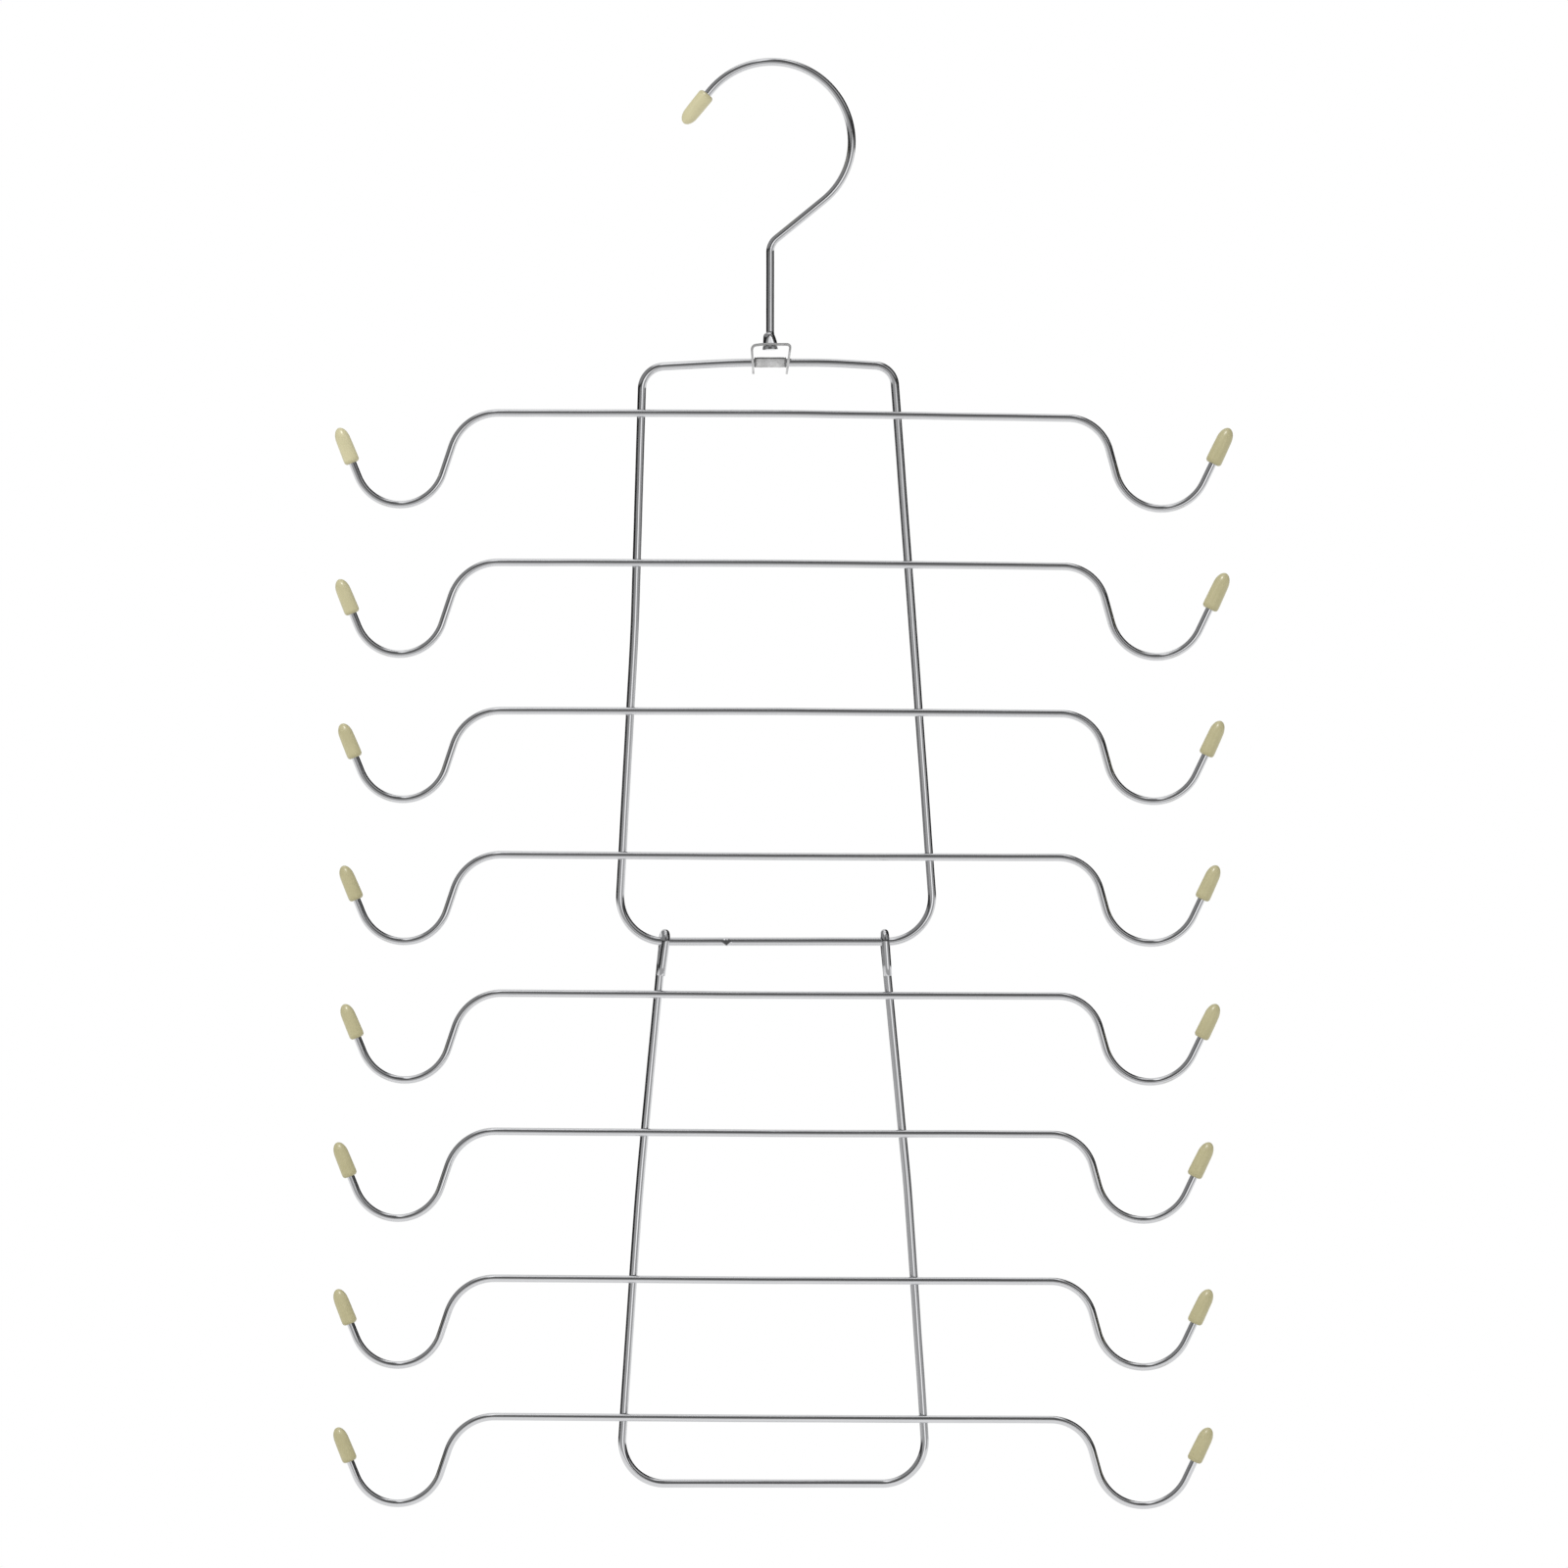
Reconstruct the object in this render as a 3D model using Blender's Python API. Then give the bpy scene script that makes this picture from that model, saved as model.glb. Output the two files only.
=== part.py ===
import math

import bmesh
import bpy
from mathutils import Vector

# A hanging rack for delicates: eight formed wire arms welded to two wire frames, which fold on each other
# under a swivelling hook. Metres, +Z up, the arms on the -Y side. The origin is the seat of the crook,
# where it rests on a rod, on the axis of the stem.

# Fits
GAP = 0.0003  # between pieces that touch on the real rack
SMALL_EDGE = 0.0001  # broken edge of the collar and the rivet head

# Hook
HOOK_WIRE = 0.00325
CROOK_BEND = 0.03265  # to the wire's centreline, over the crown
THROAT_BEND = 0.0309  # the lower right of the crook, a little tighter
CROOK_END_ANGLE = math.radians(140)  # where the crook's round part ends, from +X
THROAT_ANGLE = math.radians(8)  # where the throat bend takes over
NECK_SLOPE = math.radians(39.1)  # of the slanted neck, above the horizontal
NECK_BEND = 0.0071
NECK_DROP = 0.0726  # from the seat down to the corner of neck and stem
STEM_LENGTH = 0.0409  # from that corner to the top of the yoke
CROOK_TAIL = 0.0173  # straight free end, to the far end of its tip
COLLAR_DIAMETER = 0.0058
COLLAR_HEIGHT = 0.0043
COLLAR_SHOULDER_SHARES = (0.90, 0.72)  # of the collar's diameter and height, where it stops flaring fast
RIVET_DIAMETER = 0.0060
RIVET_THICKNESS = 0.0014
RIVET_END_SHARE = 0.85  # of the rivet's diameter, at its lower face

# Yoke that carries the frame
STRIP_THICKNESS = 0.00105
STRIP_WIDTH = 0.0080
YOKE_RISE = 0.00764  # from the axis of the frame's bar to the top of the strip
YOKE_WIDTH = 0.0168  # over the shoulders
YOKE_WAIST = 0.0156  # over the legs, beside the bar
YOKE_FOOT = 0.0046  # how far the legs reach below the axis
YOKE_BEND = 0.0013  # to the middle of the strip
FOOT_FLAT_SHARE = 0.3  # of the strip's width, left flat at the foot of each rounded leg

# Sleeve on the bar between the yoke's legs
SLEEVE_LENGTH = 0.0124
SLEEVE_WALL = 0.0003
SLEEVE_PLAY = 0.0002  # round the bar
SLEEVE_SEAM = 0.0006  # open seam of the rolled sheet
SEAM_ANGLE = math.radians(115)  # from straight behind, over the top

# Frames
FRAME_WIRE = 0.0034
UPPER_HEIGHT = 0.2363  # between the axes of its top and bottom bars
UPPER_TOP_WIDTH = 0.1025
UPPER_BOTTOM_WIDTH = 0.1298
UPPER_TOP_SHIFT = -0.0008  # middle of the top bar, from the stem's axis
UPPER_BOTTOM_SHIFT = 0.0026
UPPER_TOP_BENDS = (0.0093, 0.0084)  # left and right
UPPER_BOTTOM_BEND = 0.0184
TOP_BAR_SAGS = (0.0020, 0.0016)  # how far the ends of the top bar lie below its level middle
TOP_BAR_BEND = 0.30
TOP_BAR_LEVEL_SHARES = (0.27, 0.47)  # of half the top width, left and right of the stem
LOWER_HEIGHT = 0.2212  # from the fold axis to the axis of the bottom bar
LOWER_TOP_WIDTH = 0.0903  # between the eyelets
LOWER_BOTTOM_WIDTH = 0.1260
LOWER_SHIFT = 0.0014
LOWER_BOTTOM_BEND = 0.0174
LEG_BOW = 0.0015  # how far each bowed leg stands off the straight line between its ends
LEG_BOW_BEND = 1.0
LEG_BOW_SHARE = 0.46  # of the frame's height, down to the middle of the bow

# Eyelets of the lower frame
TAIL_LENGTH = 0.0139  # below the fold axis
JOG_START = 0.0090  # where the leg starts to lean back to pass behind the bar
JOG_END = 0.0025
JOG_BEND = 0.0050
EYELET_OFFSET_SHARES = (0.48, -0.08)  # of the wire, how far the front of each eyelet lies inside its leg
TAIL_OFFSET_SHARES = (0.18, -0.06)  # of the wire, how far the end of each tail lies inside its leg

# Arms
ARM_WIRE = 0.0031
ARM_HALF_BAR = 0.1273  # from the middle of the bar to the corner of a shoulder
SHOULDER_BENDS = (0.0200, 0.0176)  # left and right
SHOULDER_LEANS = (math.radians(18.5), math.radians(15.4))  # of the slopes into the dips, off the vertical
DIP_BENDS = (0.0184, 0.0192)
DIP_DEPTHS = (0.0355, 0.0349)
LIP_LEANS = (math.radians(22), math.radians(25.5))
LIP_LENGTHS = (0.0209, 0.0230)  # from the end of the dip's bend to the far end of the tip
BAR_BOW_BEND = 3.0

# The arms aren't alike. Heights are shares of the frame's height, reaches and shifts of ARM_HALF_BAR, drops
# of the whole bar, bows of the wire, dips of their depth and lips of their length.
UPPER_ARM_HEIGHT_SHARES = (0.0923, 0.349, 0.604, 0.852)
LOWER_ARM_HEIGHT_SHARES = (0.0973, 0.352, 0.623, 0.878)
ARM_REACH_SHARES = (1.021, 1.014, 1.007, 1.002, 1, 1, 1, 1)
ARM_SHIFT_SHARES = (0.038, 0.030, 0.030, 0.027, 0.028, 0.006, 0.005, 0.005)
ARM_DROP_SHARES = (0.009, 0.007, 0.0055, 0.005, 0.0053, 0.0053, 0.0055, 0.0056)
ARM_BOW_SHARES = (0.30, 0.16, 0.11, -0.08, -0.08, -0.08, -0.08, -0.08)
ARM_DIP_SHARES = (1.055, 1.055, 1.02, 1, 1, 1, 1, 1)
LEFT_LIP_SHARES = (1.02, 0.98, 1, 1, 1, 1, 1, 1)
RIGHT_LIP_SHARES = (1.06, 1.12, 1.05, 1, 1, 1, 1, 1)

# Tips
TIP_LENGTH = 0.0150
TIP_DIAMETER = 0.0063
TIP_NOSE_DIAMETER = 0.0058
TIP_NOSE_WALL = 0.0024
HOOK_TIP_LENGTH = 0.0155
HOOK_TIP_DIAMETER = 0.0067
HOOK_TIP_NOSE_DIAMETER = 0.0061
MOUTH_SHARE = 0.8  # of the tip's diameter, at the face of its open end
MOUTH_DEPTH_SHARE = 0.07  # of the tip's length, taken by the rounded mouth
NOSE_SHARE = 0.27  # of the tip's length, taken by the rounded nose

# Fineness of the solids
SAME_POINT = 0.00001  # points of a wire that lie closer are one
STRAIGHT = math.radians(0.1)  # a smaller turn needs no bend
SHARP = math.radians(35)  # edges that turn more stay sharp in shading
BEND_STEP = math.radians(12)
FEWEST_BEND_STEPS = 3
ARM_BEVEL_STEPS = 2  # bevel resolution, 8 sides
FRAME_BEVEL_STEPS = 3
HOOK_BEVEL_STEPS = 4
TURNED_SIDES = 12
SLEEVE_STEPS = 16
HOLE_SIDES = 20
FOOT_STEPS = 5

LEFT, RIGHT = -1, 1
SIDE_NAMES = {LEFT: "left", RIGHT: "right"}

hook_radius = HOOK_WIRE / 2
frame_radius = FRAME_WIRE / 2
arm_radius = ARM_WIRE / 2
strip_top = -NECK_DROP - STEM_LENGTH
bar_height = strip_top - YOKE_RISE
arm_offset = frame_radius + GAP + arm_radius
eyelet_bend = frame_radius + GAP + frame_radius


def of_side(pair, side):
    return pair[0] if side == LEFT else pair[1]


def arc_points(centre, radius, start, end):
    # Points in the XZ plane from one angle to the other, ends included.
    steps = max(FEWEST_BEND_STEPS, math.ceil(abs(end - start) / BEND_STEP))
    angles = [start + (end - start) * i / steps for i in range(steps + 1)]
    return [centre + radius * Vector((math.cos(a), 0, math.sin(a))) for a in angles]


def bend_run(before, corner, after, radius):
    # How much of the wire's straight run a bend takes, on each side of its corner.
    turn = math.pi - (before - corner).angle(after - corner)
    return radius * math.tan(turn / 2)


def bend_points(before, corner, after, radius):
    # The round bend that takes a wire past a corner, as points that start and end on its two runs.
    back = (before - corner).normalized()
    onward = (after - corner).normalized()
    turn = math.pi - back.angle(onward)
    if radius == 0 or turn < STRAIGHT:
        return [corner]
    run = radius * math.tan(turn / 2)
    centre = corner + (back + onward).normalized() * radius / math.cos(turn / 2)
    spoke = corner + back * run - centre
    across = corner + onward * run - centre
    steps = max(FEWEST_BEND_STEPS, math.ceil(turn / BEND_STEP))
    points = []
    for i in range(steps + 1):
        part = turn * i / steps
        points.append(centre + (spoke * math.sin(turn - part) + across * math.sin(part)) / math.sin(turn))
    return points


def bent_wire(corners, bends, closed=False):
    # A wire's centreline: its corners, each with a bend radius, made round. Ends take no bend. Where two
    # bends would need more than the straight run between them, both are tighter.
    count = len(corners)
    inner = range(count) if closed else range(1, count - 1)
    runs = [0] * count
    for i in inner:
        runs[i] = bend_run(corners[i - 1], corners[i], corners[(i + 1) % count], bends[i])
    room = [1] * count
    for i in range(count if closed else count - 1):
        j = (i + 1) % count
        length = (corners[j] - corners[i]).length
        needed = runs[i] + runs[j]
        if needed > length:
            room[i] = min(room[i], length / needed)
            room[j] = min(room[j], length / needed)
    points = []
    for i, corner in enumerate(corners):
        if i in inner:
            bend = bend_points(corners[i - 1], corner, corners[(i + 1) % count], bends[i] * room[i])
        else:
            bend = [corner]
        if points and (bend[0] - points[-1]).length < SAME_POINT:
            bend = bend[1:]
        points += bend
    return points


def material(name, colour, roughness, metallic):
    made = bpy.data.materials.new(name)
    made.use_nodes = True
    shader = made.node_tree.nodes["Principled BSDF"]
    shader.inputs["Base Color"].default_value = (*colour, 1)
    shader.inputs["Roughness"].default_value = roughness
    shader.inputs["Metallic"].default_value = metallic
    return made


def add_object(name, data, finish, parent):
    made = bpy.data.objects.new(name, data)
    bpy.context.scene.collection.objects.link(made)
    if finish.name not in data.materials:
        data.materials.append(finish)
    made.parent = parent
    return made


def add_axis(name, location, parent=None):
    axis = bpy.data.objects.new(name, None)
    bpy.context.scene.collection.objects.link(axis)
    axis.location = location
    axis.parent = parent
    return axis


def add_wire(name, points, diameter, bevel_steps, finish, parent, closed=False, widths=None):
    # A round wire along the points. widths gives the diameter at each, where it changes.
    curve = bpy.data.curves.new(name, "CURVE")
    curve.dimensions = "3D"
    curve.bevel_depth = diameter / 2
    curve.bevel_resolution = bevel_steps
    curve.use_fill_caps = not closed
    spline = curve.splines.new("POLY")
    spline.points.add(len(points) - 1)
    spline.use_cyclic_u = closed
    spline.use_smooth = True
    for i, point in enumerate(points):
        spline.points[i].co = (*point, 1)
        spline.points[i].radius = widths[i] / diameter if widths else 1
    return add_object(name, curve, finish, parent)


def finished_mesh(name, bm):
    bmesh.ops.recalc_face_normals(bm, faces=bm.faces)
    mesh = bpy.data.meshes.new(name)
    bm.to_mesh(mesh)
    bm.free()
    mesh.shade_smooth()
    mesh.set_sharp_from_angle(angle=SHARP)
    return mesh


def turned_mesh(name, profile):
    # A solid of revolution about Z. The profile is (radius, height) points, on the axis at both ends.
    bm = bmesh.new()
    rings = []
    for radius, height in profile[1:-1]:
        turns = [2 * math.pi * i / TURNED_SIDES for i in range(TURNED_SIDES)]
        rings.append([bm.verts.new((radius * math.cos(a), radius * math.sin(a), height)) for a in turns])
    for lower, upper in zip(rings, rings[1:]):
        for i in range(TURNED_SIDES):
            j = (i + 1) % TURNED_SIDES
            bm.faces.new((lower[i], lower[j], upper[j], upper[i]))
    for (_, height), ring in ((profile[0], rings[0]), (profile[-1], rings[-1])):
        pole = bm.verts.new((0, 0, height))
        for i in range(TURNED_SIDES):
            bm.faces.new((pole, ring[i], ring[(i + 1) % TURNED_SIDES]))
    return finished_mesh(name, bm)


def tip_mesh(name, wire, length, diameter, nose_diameter):
    # A soft cap. Its local origin is the wire's end, +Z points out of the wire, and the wire fills its bore.
    nose_top = GAP + TIP_NOSE_WALL
    mouth = nose_top - length
    shoulder = nose_top - length * NOSE_SHARE
    bore = wire / 2 + GAP
    nose = nose_diameter / 2
    profile = [(0, GAP), (bore, GAP), (bore, mouth)]
    profile.append((diameter / 2 * MOUTH_SHARE, mouth))
    profile.append((diameter / 2, mouth + length * MOUTH_DEPTH_SHARE))
    profile.append((nose, shoulder))
    for part in (1 / 3, 2 / 3):
        angle = part * math.pi / 2
        profile.append((nose * math.cos(angle), shoulder + length * NOSE_SHARE * math.sin(angle)))
    profile.append((0, nose_top))
    return turned_mesh(name, profile)


def add_tip(name, mesh, wire_end, lean, finish, parent):
    # lean turns the tip's axis from +Z towards +X.
    tip = add_object(name, mesh, finish, parent)
    tip.location = wire_end
    tip.rotation_euler = (0, lean, 0)
    return tip


def make_hook(chrome, vinyl):
    throat_turn = math.pi / 2 - NECK_SLOPE
    crown = hook_radius - CROOK_BEND
    throat_x = (CROOK_BEND - THROAT_BEND) * math.cos(THROAT_ANGLE) + THROAT_BEND * math.cos(throat_turn)
    throat_z = (CROOK_BEND - THROAT_BEND) * math.sin(THROAT_ANGLE) - THROAT_BEND * math.sin(throat_turn)
    reach = (crown + throat_z + NECK_DROP) / math.tan(NECK_SLOPE)
    centre = Vector((reach - throat_x, 0, crown))
    outward = Vector((math.cos(THROAT_ANGLE), 0, math.sin(THROAT_ANGLE)))
    throat_centre = centre + (CROOK_BEND - THROAT_BEND) * outward

    crook = arc_points(centre, CROOK_BEND, CROOK_END_ANGLE, THROAT_ANGLE)
    crook += arc_points(throat_centre, THROAT_BEND, THROAT_ANGLE, -throat_turn)[1:]
    tail = CROOK_TAIL - TIP_NOSE_WALL - GAP
    heading = Vector((-math.sin(CROOK_END_ANGLE), 0, math.cos(CROOK_END_ANGLE)))
    wire_end = crook[0] + heading * tail
    corner = Vector((0, 0, -NECK_DROP))
    neck = bend_points(crook[-1], corner, Vector((0, 0, strip_top)), NECK_BEND)

    collar_foot = strip_top + GAP
    shoulder_width, shoulder_height = COLLAR_SHOULDER_SHARES
    rivet_top = strip_top - STRIP_THICKNESS - GAP
    rivet_foot = rivet_top - RIVET_THICKNESS
    stem = [
        (collar_foot + COLLAR_HEIGHT, HOOK_WIRE),
        (collar_foot + COLLAR_HEIGHT * shoulder_height, COLLAR_DIAMETER * shoulder_width),
        (collar_foot + SMALL_EDGE, COLLAR_DIAMETER),
        (collar_foot, HOOK_WIRE),
        (rivet_top, HOOK_WIRE),
        (rivet_top - SMALL_EDGE, RIVET_DIAMETER),
        (rivet_foot + SMALL_EDGE, RIVET_DIAMETER),
        (rivet_foot, RIVET_DIAMETER * RIVET_END_SHARE),
    ]
    points = [wire_end] + crook + neck + [Vector((0, 0, z)) for z, _ in stem]
    plain = len(points) - len(stem)
    widths = [HOOK_WIRE] * plain + [width for _, width in stem]
    add_wire("hook_wire", points, HOOK_WIRE, HOOK_BEVEL_STEPS, chrome, None, widths=widths)

    mesh = tip_mesh("hook_tip", HOOK_WIRE, HOOK_TIP_LENGTH, HOOK_TIP_DIAMETER, HOOK_TIP_NOSE_DIAMETER)
    add_tip("hook_tip", mesh, wire_end, math.atan2(heading.x, heading.z), vinyl, None)


def cut(target, name, radius, length, centre, turn):
    # A round hole through target. turn is the rotation of a cylinder that stands along Z.
    bm = bmesh.new()
    bmesh.ops.create_cone(
        bm, cap_ends=True, segments=HOLE_SIDES, radius1=radius, radius2=radius, depth=length
    )
    cutter = add_object(name, finished_mesh(name, bm), target.data.materials[0], target.parent)
    cutter.location = centre
    cutter.rotation_euler = turn
    cutter.hide_render = True
    cutter.display_type = "WIRE"
    hole = target.modifiers.new(name, "BOOLEAN")
    hole.operation = "DIFFERENCE"
    hole.solver = "EXACT"
    hole.object = cutter


def make_yoke(plated, swivel):
    # The strip is laid along its bent centreline, with half-round feet. Local origin on the bar's axis.
    half = STRIP_THICKNESS / 2
    top = YOKE_RISE - half
    shoulder = YOKE_WIDTH / 2 - half
    waist = YOKE_WAIST / 2 - half
    foot = waist - (shoulder - waist) * YOKE_FOOT / top
    corners = [Vector((-foot, 0, -YOKE_FOOT)), Vector((-shoulder, 0, top))]
    corners += [Vector((shoulder, 0, top)), Vector((foot, 0, -YOKE_FOOT))]
    bends = bent_wire(corners, (0, YOKE_BEND, YOKE_BEND, 0))

    edge = STRIP_WIDTH / 2
    first = math.asin(FOOT_FLAT_SHARE)
    stations = []
    for i in range(FOOT_STEPS):
        angle = first + (math.pi / 2 - first) * i / (FOOT_STEPS - 1)
        stations.append((edge * (math.cos(first) - math.cos(angle)), edge * math.sin(angle)))
    rise = (corners[1] - corners[0]).normalized()
    path = [(corners[0] + rise * along, width) for along, width in stations]
    path += [(point, edge) for point in bends[1:-1]]
    fall = Vector((-rise.x, 0, rise.z))
    path += [(corners[3] + fall * along, width) for along, width in reversed(stations)]

    bm = bmesh.new()
    rings = []
    for i, (point, width) in enumerate(path):
        before = path[max(i - 1, 0)][0]
        after = path[min(i + 1, len(path) - 1)][0]
        along = (after - before).normalized()
        normal = Vector((-along.z, 0, along.x)) * half
        across = Vector((0, width, 0))
        near, far = point - across, point + across
        ring = (near - normal, near + normal, far + normal, far - normal)
        rings.append([bm.verts.new(corner) for corner in ring])
    for one, two in zip(rings, rings[1:]):
        for i in range(4):
            j = (i + 1) % 4
            bm.faces.new((one[i], one[j], two[j], two[i]))
    bm.faces.new(rings[0])
    bm.faces.new(rings[-1])
    yoke = add_object("swivel_bracket", finished_mesh("swivel_bracket", bm), plated, swivel)
    yoke.location = (0, 0, -YOKE_RISE)
    bar_hole = (0, 0, -YOKE_RISE)
    cut(yoke, "bar_holes", frame_radius + GAP, 2 * YOKE_WIDTH, bar_hole, (0, math.pi / 2, 0))
    stem_hole = (0, 0, -half)
    cut(yoke, "stem_hole", hook_radius + GAP, 2 * STRIP_THICKNESS, stem_hole, (0, 0, 0))


def make_sleeve(plated, swing):
    # A sheet rolled round the bar, with its open seam along the top.
    bm = bmesh.new()
    inner = frame_radius + SLEEVE_PLAY
    outer = inner + SLEEVE_WALL
    opening = SLEEVE_SEAM / 2 / inner
    first = SEAM_ANGLE + opening
    sheet = 2 * math.pi - 2 * opening
    angles = [first + sheet * i / SLEEVE_STEPS for i in range(SLEEVE_STEPS + 1)]
    ends = []
    for x in (-SLEEVE_LENGTH / 2, SLEEVE_LENGTH / 2):
        ring = [(x, outer * math.cos(a), outer * math.sin(a)) for a in angles]
        ring += [(x, inner * math.cos(a), inner * math.sin(a)) for a in reversed(angles)]
        ends.append([bm.verts.new(point) for point in ring])
    count = len(ends[0])
    for i in range(count):
        j = (i + 1) % count
        bm.faces.new((ends[0][i], ends[0][j], ends[1][j], ends[1][i]))
    for end in ends:
        for i in range(SLEEVE_STEPS):
            bm.faces.new((end[i], end[i + 1], end[count - 2 - i], end[count - 1 - i]))
    add_object("bar_sleeve", finished_mesh("bar_sleeve", bm), plated, swing)


def make_upper_frame(chrome, swing):
    top = UPPER_TOP_WIDTH / 2
    bottom = UPPER_BOTTOM_WIDTH / 2
    left_level, right_level = (share * top for share in TOP_BAR_LEVEL_SHARES)
    left_sag, right_sag = TOP_BAR_SAGS
    left_bend, right_bend = UPPER_TOP_BENDS
    bow_top = UPPER_TOP_SHIFT - top
    bow_bottom = UPPER_BOTTOM_SHIFT - bottom
    bow = bow_top + (bow_bottom - bow_top) * LEG_BOW_SHARE + LEG_BOW
    outline = [
        (-left_level, 0, TOP_BAR_BEND),
        (right_level, 0, TOP_BAR_BEND),
        (UPPER_TOP_SHIFT + top, -right_sag, right_bend),
        (UPPER_BOTTOM_SHIFT + bottom, -UPPER_HEIGHT, UPPER_BOTTOM_BEND),
        (UPPER_BOTTOM_SHIFT - bottom, -UPPER_HEIGHT, UPPER_BOTTOM_BEND),
        (bow, -UPPER_HEIGHT * LEG_BOW_SHARE, LEG_BOW_BEND),
        (UPPER_TOP_SHIFT - top, -left_sag, left_bend),
    ]
    corners = [Vector((x, 0, z)) for x, z, _ in outline]
    points = bent_wire(corners, [bend for _, _, bend in outline], closed=True)
    add_wire("upper_frame", points, FRAME_WIRE, FRAME_BEVEL_STEPS, chrome, swing, closed=True)


def eyelet_and_leg(side):
    # Corners from the end of a tail, over the bar and down the leg to the middle of its bow.
    top = LOWER_SHIFT + side * LOWER_TOP_WIDTH / 2
    bottom = LOWER_SHIFT + side * LOWER_BOTTOM_WIDTH / 2
    bow = top + (bottom - top) * LEG_BOW_SHARE + side * LEG_BOW
    slope = (bow - top) / (LOWER_HEIGHT * LEG_BOW_SHARE)
    eyelet_inside = -side * FRAME_WIRE * of_side(EYELET_OFFSET_SHARES, side)
    tail_inside = -side * FRAME_WIRE * of_side(TAIL_OFFSET_SHARES, side)
    return [
        (Vector((top + slope * TAIL_LENGTH + tail_inside, -eyelet_bend, -TAIL_LENGTH)), 0),
        (Vector((top + eyelet_inside, -eyelet_bend, eyelet_bend)), eyelet_bend),
        (Vector((top, eyelet_bend, eyelet_bend)), eyelet_bend),
        (Vector((top + slope * JOG_END, eyelet_bend, -JOG_END)), JOG_BEND),
        (Vector((top + slope * JOG_START, 0, -JOG_START)), JOG_BEND),
        (Vector((bow, 0, -LOWER_HEIGHT * LEG_BOW_SHARE)), LEG_BOW_BEND),
        (Vector((bottom, 0, -LOWER_HEIGHT)), LOWER_BOTTOM_BEND),
    ]


def make_lower_frame(chrome, fold):
    outline = eyelet_and_leg(LEFT) + list(reversed(eyelet_and_leg(RIGHT)))
    points = bent_wire([corner for corner, _ in outline], [bend for _, bend in outline])
    add_wire("lower_frame", points, FRAME_WIRE, FRAME_BEVEL_STEPS, chrome, fold)


def arm_end(corner, side, dip_share, lip_share):
    # The virtual corner at the foot of the dip, and the far end of the lip's straight run.
    slope = of_side(SHOULDER_LEANS, side)
    lean = of_side(LIP_LEANS, side)
    bend = of_side(DIP_BENDS, side)
    narrow = (slope + lean) / 2
    depth = of_side(DIP_DEPTHS, side) * dip_share - bend
    depth += bend * math.cos((lean - slope) / 2) / math.sin(narrow)
    foot = corner + Vector((side * depth * math.tan(slope), 0, -depth))
    run = bend / math.tan(narrow) + of_side(LIP_LENGTHS, side) * lip_share - TIP_NOSE_WALL - GAP
    end = foot + Vector((side * math.sin(lean), 0, math.cos(lean))) * run
    return foot, end


def make_arm(index, height, tip, chrome, vinyl, parent):
    name = f"arm_{index + 1}"
    half_bar = ARM_HALF_BAR * ARM_REACH_SHARES[index]
    middle = ARM_HALF_BAR * ARM_SHIFT_SHARES[index]
    drop = half_bar * ARM_DROP_SHARES[index]
    left = Vector((middle - half_bar, -arm_offset, height + drop))
    right = Vector((middle + half_bar, -arm_offset, height - drop))
    crown = (left + right) / 2 + Vector((0, 0, ARM_WIRE * ARM_BOW_SHARES[index]))
    left_foot, left_end = arm_end(left, LEFT, ARM_DIP_SHARES[index], LEFT_LIP_SHARES[index])
    right_foot, right_end = arm_end(right, RIGHT, ARM_DIP_SHARES[index], RIGHT_LIP_SHARES[index])
    corners = [left_end, left_foot, left, crown, right, right_foot, right_end]
    left_shoulder, right_shoulder = SHOULDER_BENDS
    left_dip, right_dip = DIP_BENDS
    bends = (0, left_dip, left_shoulder, BAR_BOW_BEND, right_shoulder, right_dip, 0)
    points = bent_wire(corners, bends)
    add_wire(name, points, ARM_WIRE, ARM_BEVEL_STEPS, chrome, parent)
    for side, end in ((LEFT, left_end), (RIGHT, right_end)):
        lean = side * of_side(LIP_LEANS, side)
        add_tip(f"{name}_tip_{SIDE_NAMES[side]}", tip, end, lean, vinyl, parent)


def main():
    for old in list(bpy.data.objects):
        bpy.data.objects.remove(old, do_unlink=True)

    chrome = material("chrome_plated_steel", (0.62, 0.62, 0.63), 0.12, 1)
    plated = material("zinc_plated_sheet", (0.58, 0.58, 0.57), 0.38, 1)
    vinyl = material("beige_vinyl", (0.51, 0.48, 0.31), 0.42, 0)

    swivel = add_axis("swivel_axis", (0, 0, strip_top))
    swing = add_axis("swing_axis", (0, 0, -YOKE_RISE), swivel)
    fold = add_axis("fold_axis", (0, 0, -UPPER_HEIGHT), swing)

    make_hook(chrome, vinyl)
    make_yoke(plated, swivel)
    make_sleeve(plated, swing)
    make_upper_frame(chrome, swing)
    make_lower_frame(chrome, fold)

    tip = tip_mesh("arm_tip", ARM_WIRE, TIP_LENGTH, TIP_DIAMETER, TIP_NOSE_DIAMETER)
    uppers = len(UPPER_ARM_HEIGHT_SHARES)
    for i, share in enumerate(UPPER_ARM_HEIGHT_SHARES):
        make_arm(i, -UPPER_HEIGHT * share, tip, chrome, vinyl, swing)
    for i, share in enumerate(LOWER_ARM_HEIGHT_SHARES):
        make_arm(uppers + i, -LOWER_HEIGHT * share, tip, chrome, vinyl, fold)


main()
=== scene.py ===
import math
import random
from functools import partial

import bmesh
import bpy
from mathutils import Matrix, Vector


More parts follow.
